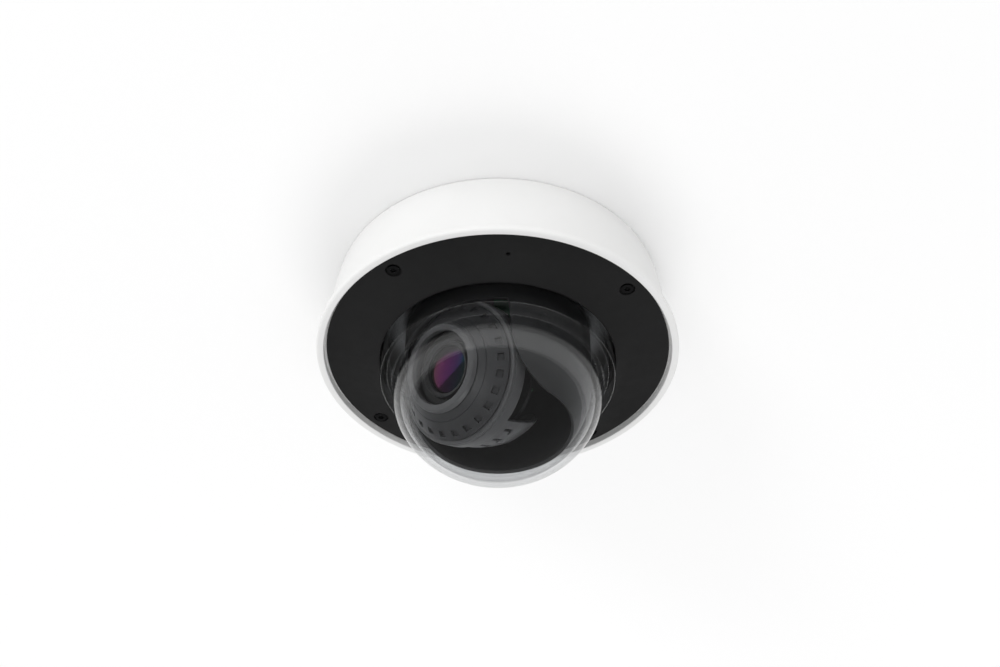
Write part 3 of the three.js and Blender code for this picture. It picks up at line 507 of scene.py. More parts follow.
def piercedSheet(radii, columns, height, holes):
    # polar grid with a square patch of cells round each hole replaced by rings that change from the
    # square to a circle; z = height(r). Returns verts, faces and each hole's circle of vertex numbers
    t = np.arange(columns) * 2 * math.pi / columns
    r, angle = np.meshgrid(radii, t, indexing="ij")
    flat = np.stack([r * np.cos(angle), r * np.sin(angle)], -1).reshape(-1, 2)
    cells = gridFaces(len(radii), columns)
    cellRow, cellColumn = np.divmod(np.arange(len(cells)), columns)
    keep = np.ones(len(cells), bool)
    verts, faces, circles = [flat], [], []
    total = len(flat)
    for hole in holes:
        column = int(round(math.radians(hole["angle"]) % (2 * math.pi) / (2 * math.pi / columns)))
        wide = max(2, int(math.ceil(hole["radius"] * 1.35 / (hole["circle"] * 2 * math.pi / columns))))
        low = int(np.searchsorted(radii, hole["circle"] - hole["radius"] * 1.35)) - 1
        high = int(np.searchsorted(radii, hole["circle"] + hole["radius"] * 1.35))
        low, high = max(low, 0), min(high, len(radii) - 1)
        offset = (cellColumn - (column - wide)) % columns
        keep &= ~((offset < 2 * wide) & (cellRow >= low) & (cellRow < high))
        across = (np.arange(column - wide, column + wide + 1)) % columns
        up = np.arange(low, high + 1)
        ring = np.concatenate([low * columns + across[:-1], up[:-1] * columns + across[-1],
                               high * columns + across[:0:-1], up[:0:-1] * columns + across[0]])
        middle = hole["circle"] * np.array([math.cos(math.radians(hole["angle"])),
                                            math.sin(math.radians(hole["angle"]))])
        away = flat[ring] - middle
        onCircle = middle + away / np.linalg.norm(away, axis=1)[:, None] * hole["radius"]
        previous = ring
        for step in (0.35, 0.65, 0.85, 1.0):
            new = np.arange(total, total + len(ring))
            verts.append(flat[ring] * (1 - step) + onCircle * step)
            total += len(ring)
            faces.append(ringFaces(previous, new))
            previous = new
        circles.append(previous)
    flatAll = np.concatenate(verts)
    z = height(np.linalg.norm(flatAll, axis=1))
    return np.column_stack([flatAll, z]), np.concatenate([cells[keep], *faces]), circles


def holeWall(verts, faces, circle, depths, shrink=None, closed=False):
    # rings below a hole's edge, one for each depth; shrink scales each about the hole's middle
    shrink = shrink or [1.0] * len(depths)
    edgeVerts = verts[circle]
    middle = edgeVerts.mean(0)
    previous = circle
    for depth, scale in zip(depths, shrink):
        across = middle[:2] + (edgeVerts[:, :2] - middle[:2]) * scale
        ring = np.column_stack([across, edgeVerts[:, 2] + depth])
        new = np.arange(len(verts), len(verts) + len(ring))
        verts = np.concatenate([verts, ring])
        faces = np.concatenate([faces, ringFaces(previous, new)])
        previous = new
    return capped(verts, faces, previous) if closed else (verts, faces)


def capped(verts, faces, ring):
    # fan from a ring to its middle: the middle is repeated for each corner and merged later
    tip = np.arange(len(verts), len(verts) + len(ring))
    middle = np.broadcast_to(verts[ring].mean(0), (len(ring), 3))
    return np.concatenate([verts, middle]), np.concatenate([faces, ringFaces(ring, tip)])


# housing

housing = {
    "columns": 360,
    "wall": 3.0,
    "floor": 3.0,
    "ledgeRadius": 76.5,
    "lipInner": housingRadius - 3.4,
    "lipRound": 0.9,
    "lipStep": 3.0,          # height of the lip's band before the wall starts
    "wallInset": 4.0,
    "topInset": 7.7,
    "ceilingHoles": 2.4,
    "ceilingCircle": 66.0,
    "cableHole": 7.5,
    "cableCircle": 63.0,
    "plateThick": 2.2,
    "gap": 0.3,
    "kinkAbove": 2.1,        # start of the wall's bulge above the ledge
    "leanFrom": 8.0,         # degrees of the bulge's arc
    "leanTo": 65.0,
    "sheetInner": 2.0,
    "sheetInset": 0.8,
    "postTop": -2.0,
    "postSegments": 40,
    "posts": (               # screw, radius, first angle, circle, number
        ("cover", 4.5, 51.44, 73.9, 4),
        ("chassis", 4.0, 30, 61.0, 3),
        ("board", 3.0, 0, 48.0, 3)),
}


def makeHousing():
    # outside: lip band, a small step, then a wall that bulges and leans in to the ceiling face.
    # inside: cavity, ledge for the face seal, and the lip's inner side
    h = housing
    ledgeZ = edge("face_gasket", 0, 2)
    kinkZ = ledgeZ + h["kinkAbove"]
    topRadius = housingRadius - h["topInset"]
    lean = np.linspace(math.radians(h["leanFrom"]), math.radians(h["leanTo"]), 28)
    across = (np.cos(lean) - np.cos(lean[-1])) / (np.cos(lean[0]) - np.cos(lean[-1]))
    rise = (np.sin(lean[-1]) - np.sin(lean)) / (np.sin(lean[-1]) - np.sin(lean[0]))
    bulge = np.column_stack([topRadius + (housingRadius - h["wallInset"] - topRadius) * across, kinkZ * rise])
    holes = [{"circle": h["ceilingCircle"], "angle": a, "radius": h["ceilingHoles"]} for a in (0, 120, 240)]
    holes.append({"circle": h["cableCircle"], "angle": 90, "radius": h["cableHole"]})
    inner = np.linspace(h["sheetInner"], topRadius - h["sheetInset"], 64)
    top, topFaces, topCircles = piercedSheet(inner, h["columns"], lambda r: 0 * r, holes)
    under, underFaces, underCircles = piercedSheet(inner, h["columns"], lambda r: 0 * r - h["floor"], holes)
    verts = np.concatenate([top, under])
    faces = np.concatenate([topFaces, underFaces + len(top)])
    for upper, lower in zip(topCircles, underCircles):
        lower = lower + len(top)
        faces = np.concatenate([faces, ringFaces(upper, lower)])
    for start in (0, len(top)):
        verts, faces = capped(verts, faces, start + np.arange(h["columns"]))
    lip = rounded([
        (h["ledgeRadius"] - 0.02, -h["floor"] - h["wall"], 0), (h["ledgeRadius"], ledgeZ, 0.2),
        (h["lipInner"], ledgeZ, 0.3), (h["lipInner"], lipZ, 0.5), (housingRadius, lipZ, h["lipRound"]),
        (housingRadius, lipZ + h["lipStep"], 0.5), (bulge[0][0] + 0.02, lipZ + h["lipStep"] + 0.6, 0.3),
        (bulge[0][0], kinkZ, 0),
    ], 6)
    side = np.concatenate([[[inner[-1], -h["floor"]]], lip[1:-1], bulge[:-1], [[topRadius, -0.5]],
                           [[topRadius - 0.15, -0.12]], [[inner[-1], 0]]])
    sideStart = len(verts)
    verts = np.concatenate([verts, turnedGrid(side, h["columns"])])
    faces = np.concatenate([faces, gridFaces(len(side), h["columns"]) + sideStart])
    ends = {
        "cover": edge("cover_screw_1", 0, 2) + h["plateThick"] + 2 * h["gap"],
        "chassis": edge("chassis_plate", 1, 2) + h["gap"],
        "board": edge("main_board", 1, 2) + h["gap"],
    }
    segments = h["postSegments"]
    for screw, radius, first, circle, count in h["posts"]:
        outline = rounded([(0, ends[screw], 0), (radius, ends[screw], 0.4), (radius, h["postTop"], 0),
                           (0, h["postTop"], 0)], 4)
        for angle in np.radians(first + 360 * np.arange(count) / count):
            post = turnedGrid(outline, segments) + [circle * math.cos(angle), circle * math.sin(angle), 0]
            faces = np.concatenate([faces, gridFaces(len(outline), segments) + len(verts)])
            verts = np.concatenate([verts, post])
    makePiece("baseHousing", verts, faces, rowPlace, "housing", whitePaint,
              ("base_housing",), 32)


makeHousing()

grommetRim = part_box("cable_grommet")
grommetMiddle = [(grommetRim[0][k] + grommetRim[1][k]) / 2 / mm for k in (0, 1)]
grommetPlace = (rowAxes, np.array([grommetMiddle[0], grommetMiddle[1], 0.0]))
turnedPiece("cableGrommet", rounded([
    (3.5, -6, 0.3), (5.1, -6, 0.4), (7.2, -4.6, 0.3), (9.3, -4.4, 0.4), (9.3, -3.3, 0.2), (7.2, -3.3, 0.1),
    (7.2, -0.3, 0.4), (3.5, -0.3, 0.6),
]), grommetPlace, "housing", sealRubber, ("cable_grommet",), 72)
print("housing done")


# face plate

plate = {
    "columns": 384,
    "edgeAbove": 2.15,       # plate's edge behind the lip plane
    "openingRise": 3.3,      # opening's rim in front of the lip plane
    "openingRadius": 55.1,
    "rimRound": 0.55,
    "thick": 2.2,
    "screwCircle": 73.9,
    "screwAngle": 51.44,
    "pocketRadius": 3.68,
    "pocketDepth": 1.25,
    "micCircle": 69.0,
    "micAngle": -86.3,
    "micRadius": 1.05,
    "brimWide": 4.5,
    "brimThick": 1.25,
    "ribOuter": 62.5,        # rib that holds the dome's seal
    "ribInner": 61.3,
    "ribHigh": 1.3,
}


def plateFront(r):
    # parabola: flat at the plate's edge, steepest at the opening
    t = (plateRadius - r) / (plateRadius - plate["openingRadius"])
    return lipZ + plate["edgeAbove"] - (plate["edgeAbove"] + plate["openingRise"]) * t * t


def makeFacePlate():
    p = plate
    turn = math.radians(p["screwAngle"])
    holes = [{"circle": p["screwCircle"], "angle": 90 * k, "radius": p["pocketRadius"]} for k in range(4)]
    micAngle = p["micAngle"] - p["screwAngle"]
    holes.append({"circle": p["micCircle"], "angle": micAngle, "radius": p["micRadius"]})
    radii = np.linspace(p["openingRadius"] + p["rimRound"], plateRadius - 0.35, 44)
    verts, faces, circles = piercedSheet(radii, p["columns"], plateFront, holes)
    pocket = p["pocketDepth"]
    for circle in circles[:4]:
        verts, faces = holeWall(verts, faces, circle, [0.03, 0.12, pocket - 0.1, pocket],
                                [0.985, 0.975, 0.97, 0.93], closed=True)
    verts, faces = holeWall(verts, faces, circles[4], [0.05, 0.2, 1.7], [0.93, 0.88, 0.88], closed=True)
    rim, front = p["openingRadius"], plateFront(np.array([radii[0], radii[-1]]))
    seat = edge("dome_gasket", 0, 2) - 0.3
    brim, brimZ = plateRadius - p["brimWide"], lipZ + p["edgeAbove"] + p["brimThick"]
    ribTop = seat + p["ribHigh"]
    back = [(radii[-1], front[1])]
    back += [tuple(v) for v in rounded([
        (radii[-1] - 0.3, front[1], 0), (plateRadius, plateFront(plateRadius), 0.35),
        (plateRadius, brimZ, 0.3), (brim, brimZ, 0.2), (brim, plateFront(brim) + p["thick"], 0.3),
        (p["ribOuter"], plateFront(p["ribOuter"]) + p["thick"], 0.3), (p["ribOuter"], ribTop, 0.2),
        (p["ribInner"], ribTop, 0.2), (p["ribInner"], seat, 0.2), (rim, seat, 0.3),
        (rim, front[0] + 0.1, 0.4), (radii[0], front[0], 0)], 5)[1:-1]]
    back.append((radii[0], front[0]))
    back = np.array(back)
    faces = np.concatenate([faces, gridFaces(len(back), p["columns"]) + len(verts)])
    verts = np.concatenate([verts, turnedGrid(back, p["columns"])])
    spin = np.array([[math.cos(turn), math.sin(turn), 0], [-math.sin(turn), math.cos(turn), 0], [0, 0, 1]])
    makePiece("facePlate", verts, faces, (spin, np.zeros(3)), "housing", platePlastic,
              ("face_plate",), 35)


makeFacePlate()
print("face plate done")


# clear dome

dome = {
    "segments": 288,
    "wall": 2.8,
    "collarRadius": 54.6,
    "collarDrop": 14.9,      # below the lip plane
    "collarRound": 1.7,
    "capRadius": 48.9,
    "capSide": 4.4,
    "flange": 5.8,
    "flangeThick": 2.5,
}


def makeDome():
    # cap is half an ellipse, (a cos t, b sin t); the inner wall is the same curve a wall's width in
    d = dome
    collarZ = lipZ - d["collarDrop"]
    equator = collarZ - d["capSide"]
    depth = equator - domeBottom
    t = np.linspace(-math.pi / 2, 0, 72)
    outside = np.column_stack([d["capRadius"] * np.cos(t), equator + depth * np.sin(t)])
    capInner, collarInner = d["capRadius"] - d["wall"], d["collarRadius"] - d["wall"]
    inside = np.column_stack([capInner * np.cos(t), equator + (depth - d["wall"]) * np.sin(t)])
    outside[0, 0] = inside[0, 0] = 0
    bend = rounded([
        tuple(outside[-2]), (d["capRadius"], collarZ, 1.3), (d["collarRadius"], collarZ, d["collarRound"]),
        (d["collarRadius"], domeTop - d["flangeThick"], 0.5),
        (d["collarRadius"] + d["flange"], domeTop - d["flangeThick"], 0.3),
        (d["collarRadius"] + d["flange"], domeTop, 0.3), (collarInner, domeTop, 0.3),
        (collarInner, collarZ + d["wall"], 1.4), (capInner, collarZ + d["wall"], 1.8), tuple(inside[-2]),
    ], 9)
    outline = np.concatenate([outside, bend[1:-1], inside[::-1]])
    turnedPiece("domeBubble", outline, rowPlace, "housing", clearDome, ("dome_bubble",),
                d["segments"], 60)


makeDome()

for node, name, inner in (("dome_gasket", "domeGasket", 56.1), ("face_gasket", "faceGasket", 78.15)):
    low, high = extent(node, rowPlace)
    turnedPiece(name, rounded([(inner, low[2], 0.3), (high[0], low[2], 0.3), (high[0], high[2], 0.3),
                               (inner, high[2], 0.3)], 4), rowPlace, "housing", sealRubber,
                (node,), 192)
refined("dome_clamp_ring", "domeClampRing", platePlastic, 0.3)
print("dome done")


# screws

screwKinds = {
    "cover": {"head": 2.75, "thick": 0.9, "shaft": 1.5, "lobe": 1.27, "deep": 0.8, "pin": 0.45, "dome": 0.12},
    "clamp": {"head": 2.4, "thick": 1.4, "shaft": 1.2, "lobe": 1.1, "deep": 0.8, "pin": 0.0, "dome": 0.3},
    "board": {"head": 2.6, "thick": 1.6, "shaft": 1.0, "lobe": 1.1, "deep": 0.9, "pin": 0.0, "dome": 0.3},
    "chassis": {"head": 3.0, "thick": 1.8, "shaft": 1.5, "lobe": 1.3, "deep": 1.1, "pin": 0.0, "dome": 0.35},
    "sensor": {"head": 1.9, "thick": 1.2, "shaft": 0.8, "lobe": 0.8, "deep": 0.7, "pin": 0.0, "dome": 0.2},
}


def makeScrew(kind, node, name, axes, body, material, flip):
    # head and shaft turned about the screw's own axis; the recess has six lobes, r (1 + w cos 6t); flip
    # is -1 for a screw whose head is at its upper end
    k = screwKinds[kind]
    low, high = extent(node, (axes, np.zeros(3)))
    middle = (low + high) / 2
    length = high[2] - low[2]
    headZ = low[2] if flip > 0 else high[2]
    place = (axes * np.array([[1], [flip], [flip]]), axes.T @ np.array([middle[0], middle[1], headZ]))
    pin = k["pin"]
    points, wave = [], []
    if pin:
        points += [(0, 0.2), (pin * 0.8, 0.2), (pin, 0.3), (pin, k["deep"])]
        wave += [0, 0, 0, 0]
    else:
        points += [(0, k["deep"])]
        wave += [0]
    points += [(k["lobe"] * 0.92, k["deep"]), (k["lobe"], k["deep"] - 0.05),
               (k["lobe"], k["dome"] * 0.2 + 0.06), (k["lobe"] * 1.05, k["dome"] * 0.2)]
    wave += [0.12, 0.12, 0.12, 0.10]
    edgeT = np.linspace(0.15, 1, 8)
    spanR = k["head"] - k["lobe"] * 1.1
    points += [(k["lobe"] * 1.1 + spanR * math.sin(a * math.pi / 2) ** 0.9,
                k["dome"] * (0.2 + 0.8 * (1 - math.cos(a * math.pi / 2)) ** 1.5)) for a in edgeT]
    wave += [0.04 * (1 - a) for a in edgeT]
    points += [(k["head"], k["thick"] - 0.05), (k["head"] - 0.1, k["thick"]), (k["shaft"] + 0.1, k["thick"])]
    wave += [0, 0, 0]
    turns = int((length - k["thick"]) / 0.5)
    for i in range(turns):
        z = k["thick"] + 0.2 + 0.5 * i
        points += [(k["shaft"] * 0.84, z), (k["shaft"], z + 0.22)]
        wave += [0, 0]
    points += [(k["shaft"] * 0.7, length), (0, length)]
    wave += [0, 0]
    turnedPiece(name, np.array(points), place, body, material, (node,), 72, 50, np.array(wave))


for kind, count, axes, body, slotName, material, flip in (
        ("cover", 4, rowAxes, "housing", "black_screw", blackSteel, 1),
        ("clamp", 4, rowAxes, "housing", "steel", zincSteel, -1),
        ("board", 3, rowAxes, "housing", "steel", zincSteel, 1),
        ("chassis", 3, rowAxes, "housing", "steel", zincSteel, 1),
        ("sensor", 2, headAxes, "lens_head", "steel", zincSteel, 1)):
    for i in range(1, count + 1):
        makeScrew(kind, f"{kind}_screw_{i}", f"{kind}Screw{i}", axes, body, material, flip)
print("screws done")


# boards and their parts

def turnedFrom(node, name, corners, body, material, place=rowPlace, segments=96, steps=4):
    # rings and discs whose middle is the node's own middle across the local axes
    low, high = extent(node, place)
    middle = (low + high) / 2
    local = (place[0], place[1] + place[0].T @ np.array([middle[0], middle[1], 0]))
    outline = rounded(corners(low[2], high[2]), steps)
    return turnedPiece(name, outline, local, body, material, (node,), segments)


parts = {
    "boardRadius": 55.0,
    "under": edge("main_board", 0, 2),
    "chips": (               # x, y, side, height
        (-8, -6, 12, 2.2), (12, 4, 8, 1.4), (-20, 12, 9, 1.4), (4, 20, 7, 1.2), (18, -40, 8, 1.3),
        (-6, -34, 10, 1.6), (30, 8, 6, 1.1)),
    "seed": 7,
    "count": 150,
    "reach": 50.0,
    "solder": 0.02,
    "passiveHigh": 0.6,
}
jack = {"pins": 8, "pitch": 1.02, "halfWide": 0.2, "front": 41.0, "back": 52.0, "low": 3.9, "high": 3.5}
chassis = {"inner": 38.8, "outer": 67.0, "low": -26.0, "high": -24.0}
microphone = {"port": 0.5, "radius": 2.6}

turnedFrom("microphone", "microphone_can", lambda a, b: [
    (0, a, 0), (microphone["port"], a, 0), (microphone["radius"], a, 0.3), (microphone["radius"], b, 0.3),
    (0, b, 0)], "housing", zincSteel)
turnedFrom("main_board", "mainBoard", lambda a, b: [
    (0, a, 0), (parts["boardRadius"], a, 0.15), (parts["boardRadius"], b, 0.15), (0, b, 0)],
    "housing", boardGreen, segments=192)
turnedPiece("chassisPlate", rounded([
    (chassis["inner"], chassis["low"], 0.2), (chassis["outer"], chassis["low"], 0.4),
    (chassis["outer"], chassis["high"], 0.4), (chassis["inner"], chassis["high"], 0.2)], 4),
    rowPlace, "housing", zincSteel, ("chassis_plate",), 192)
for node, name, slotName, material in (
        ("ethernet_jack", "ethernetJack", "steel", zincSteel), ("card_slot", "cardSlot", "steel", zincSteel),
        ("heat_spreader", "heatSpreader", "aluminium", milledAluminium),
        ("memory_card", "memoryCard", "card_plastic", chipBlack),
        ("reset_switch", "resetSwitch", "grey_plastic", chipBlack),
        ("reset_button", "resetButton", "grey_plastic", trimPlastic)):
    refined(node, name, material, 0.15)


def blocksPiece(name, lows, highs, body, material, place=rowPlace):
    # many small blocks in one mesh: eight corners and six faces for each low and high corner
    pick = np.array([[i & 1, (i >> 1) & 1, (i >> 2) & 1] for i in range(8)])
    verts = (lows[:, None, :] * (1 - pick) + highs[:, None, :] * pick).reshape(-1, 3)
    cube = np.array([[0, 2, 3, 1], [4, 5, 7, 6], [0, 1, 5, 4], [2, 6, 7, 3], [0, 4, 6, 2], [1, 3, 7, 5]])
    faces = (np.arange(len(lows))[:, None, None] * 8 + cube).reshape(-1, 4)
    return makePiece(name, verts, faces, place, body, material)


def makeBoardParts():
    # chips set out one by one, and small passives scattered where nothing else stands
    z = parts["under"]
    top = z - parts["solder"]
    chips = np.array(parts["chips"])
    half = chips[:, 2:3] / 2
    lows = np.column_stack([chips[:, :2] - half, z - chips[:, 3]])
    highs = np.column_stack([chips[:, :2] + half, np.full(len(chips), top)])
    blocksPiece("boardChips", lows, highs, "housing", chipBlack)
    draw = np.random.default_rng(parts["seed"])
    spots = draw.uniform(-parts["reach"], parts["reach"], (parts["count"] * 3, 2))
    taken = [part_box(node) for node in ("ethernet_jack", "heat_spreader", "card_slot", "reset_switch",
                                       "board_screw_1", "board_screw_2", "board_screw_3")]
    free = np.linalg.norm(spots, axis=1) < parts["reach"]
    for low, high in taken:
        inside = ((spots > np.array(low[:2]) / mm - 2.5) & (spots < np.array(high[:2]) / mm + 2.5)).all(1)
        free &= ~inside
    for x, y, size, _ in chips:
        free &= (np.abs(spots - [x, y]) > size / 2 + 1.5).any(1)
    spots = spots[free][:parts["count"]]
    size = np.where(draw.random((len(spots), 1)) > 0.5, [[1.0, 0.5]], [[0.5, 1.0]]) * draw.uniform(
        0.8, 1.8, (len(spots), 1))
    lows = np.column_stack([spots - size / 2, np.full(len(spots), z - parts["passiveHigh"])])
    highs = np.column_stack([spots + size / 2, np.full(len(spots), top)])
    blocksPiece("boardPassives", lows, highs, "housing", gearAcetal)
    jackTop = extent("ethernet_jack", rowPlace)[1][2]
    x = jack["pitch"] * (np.arange(jack["pins"]) - (jack["pins"] - 1) / 2)
    flat = np.ones(jack["pins"])
    lows = np.column_stack([x - jack["halfWide"], flat * jack["front"], flat * (jackTop - jack["low"])])
    highs = np.column_stack([x + jack["halfWide"], flat * jack["back"], flat * (jackTop - jack["high"])])
    blocksPiece("jackContacts", lows, highs, "housing", zincSteel)


makeBoardParts()
print("boards done")


# pan stage

shroud = {
    "radius": 43.8,
    "wall": 1.5,
    "wellRadius": 34.3,
    "slotTop": 13.0,
    "cornerSpan": 2.6,       # degrees over which the slot's top corner turns down
    "rows": 40,
}


def shroudPlanRadius(z):
    # a cylinder above the pivot and a ball below it
    return np.sqrt(np.maximum(shroud["radius"] ** 2 - np.minimum(z, 0) ** 2, 1.0))


def makeShroud():
    # sheet between its straight top and its lower edge. The lower edge is the well's circle at the
    # back and the slot's side planes at the front, joined by a smooth step at the slot's top corners
    s = shroud
    top = extent("inner_shroud", panPlace)[1][2]
    cornerAngle = math.degrees(math.asin(s["wellRadius"] / s["radius"]))
    near = cornerAngle + s["cornerSpan"] * np.linspace(-1.5, 1.5, 61)
    angles = np.unique(np.round(np.concatenate([np.linspace(0, 180, 181), near,
                                                np.linspace(cornerAngle, 92, 60)]), 4))
    angles = np.concatenate([angles, -angles[-2:0:-1]])
    t = np.radians(angles)
    side = np.maximum(np.abs(np.sin(t)), 1e-3)
    planRadius = np.minimum(s["wellRadius"] / side, s["radius"])
    behind = np.abs(angles) > 90
    planRadius = np.where(behind, s["wellRadius"], planRadius)
    low = -np.sqrt(np.maximum(s["radius"] ** 2 - planRadius ** 2, 0))
    blend = np.clip((np.abs(angles) - cornerAngle) / s["cornerSpan"] + 0.5, 0, 1)
    blend = blend * blend * (3 - 2 * blend)
    low = s["slotTop"] * (1 - blend) + low * blend
    v = np.linspace(0, 1, s["rows"])[:, None]
    z = top + (low - top) * v
    outer = shroudPlanRadius(z)
    outerVerts = np.stack([outer * np.cos(t), outer * np.sin(t), z], -1)
    normal = np.stack([outer * np.cos(t), outer * np.sin(t), np.minimum(z, 0)], -1)
    normal = normal / np.linalg.norm(normal, axis=-1)[..., None]
    innerVerts = outerVerts - normal * s["wall"]
    innerVerts[..., 2] = np.where(v < 1e-9, top, innerVerts[..., 2])
    lip = (outerVerts[-1] + innerVerts[-1]) / 2
    lip = lip + (outerVerts[-1] - outerVerts[-2]) * 0.02
    verts = np.concatenate([outerVerts, lip[None], innerVerts[::-1]]).reshape(-1, 3)
    rows = 2 * s["rows"] + 1
    makePiece("innerShroud", verts, gridFaces(rows, len(t), closeRows=True), panPlace, "pan_stage",
              shroudPlastic, ("inner_shroud",), 35)


makeShroud()
turntable = {"inner": 34.2, "outer": 43.8, "neck": 38.2, "flange": 3.0}
ringLow, ringHigh = extent("pan_turntable", panPlace)
flangeTop = ringLow[2] + turntable["flange"]
turnedPiece("panTurntable", rounded([
    (turntable["inner"], ringLow[2], 0.3), (turntable["outer"], ringLow[2], 0.3),
    (turntable["outer"], flangeTop, 0.3), (turntable["neck"], flangeTop, 0.2),
    (turntable["neck"], ringHigh[2], 0.3), (turntable["inner"], ringHigh[2], 0.3)], 4),
    panPlace, "pan_stage", headPlastic, ("pan_turntable",), 192)
refined("pan_retainer_ring", "panRetainerRing", zincSteel, 0.2)
for side in ("left", "right"):
    refined(f"yoke_arm_{side}", f"yokeArm{side.title()}", headPlastic, 0.4, 3)
    refined(f"tilt_pin_{side}", f"tiltPin{side.title()}", zincSteel, 0.3, 3)
print("pan stage done")


# tilt stage

cradle = {"inner": 30.8, "outer": 33.2, "back": 19.0, "earHalf": 7.0}
tongue = {
    "halfAngle": 24.0,
    "wall": 1.8,
    "ventAngles": (-13.0, 0.0, 13.0),
    "ventWidth": 1.8,        # mm
    "ventFront": 15.6,
    "ventBack": 9.5,
    "ventHook": 1.7,
}


def makeCradle():
    # ring round the skirt, with a groove near its front edge, and an ear of rounded outline each side
    c = cradle
    front = extent("tilt_cradle", headPlace)[1][2]
    ring = turnedGrid(rounded([
        (c["inner"], c["back"], 0.3), (c["outer"], c["back"], 0.5), (c["outer"], front - 2.0, 0.15),
        (c["outer"] - 0.35, front - 1.8, 0.1), (c["outer"] - 0.35, front - 1.5, 0.1),
        (c["outer"], front - 1.3, 0.15), (c["outer"], front, 0.4), (c["inner"], front, 0.3)], 5), 256)
    verts, faces = ring, gridFaces(len(ring) // 256, 256, closeRows=True)
    t = np.linspace(-math.pi, 0, 25)
    outline = np.concatenate([np.column_stack([c["earHalf"] * np.cos(t), c["earHalf"] * np.sin(t)]),
                              [[c["earHalf"], c["back"] + 2], [-c["earHalf"], c["back"] + 2]]])
    for sign in (-1, 1):
        layers = []
        for across, shrink in ((c["inner"], 0), (c["inner"], 0.94), (c["inner"] + 0.4, 1),
                               (c["outer"] - 0.4, 1), (c["outer"], 0.94), (c["outer"], 0)):
            scaled = outline * max(shrink, 0.001)
            layers.append(np.column_stack([np.full(len(outline), sign * across), scaled]))
        faces = np.concatenate([faces, gridFaces(len(layers), len(outline)) + len(verts)])
        verts = np.concatenate([verts, *layers])
    makePiece("tiltCradle", verts, faces, headPlace, "tilt_stage", trimPlastic,
              ("tilt_cradle",))


def makeTongue():
    # strip of a bowl behind the cradle, narrowing in a round end; cells inside the L vents are left
    # out and the wall thickness closes their sides
    s = tongue
    rim = cradle["outer"] - 0.6
    path = np.array([[rim, 18.6], [rim - 0.2, 14], [rim - 0.8, 9], [rim - 1.9, 3.5], [rim - 3.6, -2],
                     [rim - 6.2, -6.6], [rim - 9.6, -10.4], [rim - 13.6, -13.2], [rim - 16.6, -14.6]])
    along = np.concatenate([[0], np.cumsum(np.linalg.norm(np.diff(path, axis=0), axis=1))])
    want = np.linspace(0, along[-1], 150)
    vents = np.array([s["ventFront"], s["ventBack"], s["ventBack"] + s["ventWidth"]])
    want = np.unique(np.concatenate([want, np.interp(-vents, -path[:, 1], along)]))
    keep = np.concatenate([[True], np.diff(want) > 0.02])
    want = want[keep]
    r, z = np.interp(want, along, path[:, 0]), np.interp(want, along, path[:, 1])
    reach = want / along[-1]
    width = np.power(np.maximum(1 - np.power(reach, 2.6), 0.0), 0.5)
    halfMm = math.radians(s["halfAngle"]) * rim
    u = np.linspace(-1, 1, 181)
    arcLength = u[None, :] * (halfMm * np.maximum(width, 0.04))[:, None]
    angle = arcLength / r[:, None] - math.pi / 2
    verts = np.stack([r[:, None] * np.cos(angle), r[:, None] * np.sin(angle),
                      np.broadcast_to(z[:, None], angle.shape)], -1)
    faces = gridFaces(len(want), len(u), closeColumns=False)
    rowOf, columnOf = np.divmod(np.arange(len(faces)), len(u) - 1)
    faceZ = (z[rowOf] + z[rowOf + 1]) / 2
    arc = (arcLength[rowOf, columnOf] + arcLength[rowOf + 1, columnOf + 1]) / 2
    cut = np.zeros(len(faces), bool)
    for middle in s["ventAngles"]:
        x = arc - math.radians(middle) * rim
        bar = (x > 0) & (x < s["ventWidth"]) & (faceZ < s["ventFront"]) & (faceZ > s["ventBack"])
        hook = (x > -s["ventHook"]) & (x < s["ventWidth"]) & (faceZ > s["ventBack"]) & (
            faceZ < s["ventBack"] + s["ventWidth"])
        cut |= bar | hook
    piece = makePiece("rearBracket", verts.reshape(-1, 3), faces[~cut], headPlace, "tilt_stage",
                      trimPlastic, ("rear_bracket",))
    wall = piece.modifiers.new("wall", "SOLIDIFY")
    wall.thickness = s["wall"] * mm
    wall.offset = -1
    wall.use_even_offset = False


makeCradle()
makeTongue()
print("tilt stage done")


# lens head

head = {
    "ball": 42.2,
    "rim": 31.4,
    "rimThick": 0.8,
    "skirt": 30.2,
    "skirtWall": 1.6,
    "skirtBack": 17.5,
    "face": 21.0,
    "bore": 17.3,
    "notches": 24,
    "notchWidth": 3.3,
    "notchLong": 3.0,
    "notchDepth": 1.25,
    "notchIn": 2.5,          # notch middle inside the rim, measured across
    "seam": 24.0,
    "seamWidth": 0.22,
    "seamDepth": 0.25,
}


def box01(x, low, high, soft):
    # 1 between low and high, falling to 0 over soft at each end
    return np.clip((x - low) / soft + 0.5, 0, 1) * np.clip((high - x) / soft + 0.5, 0, 1)


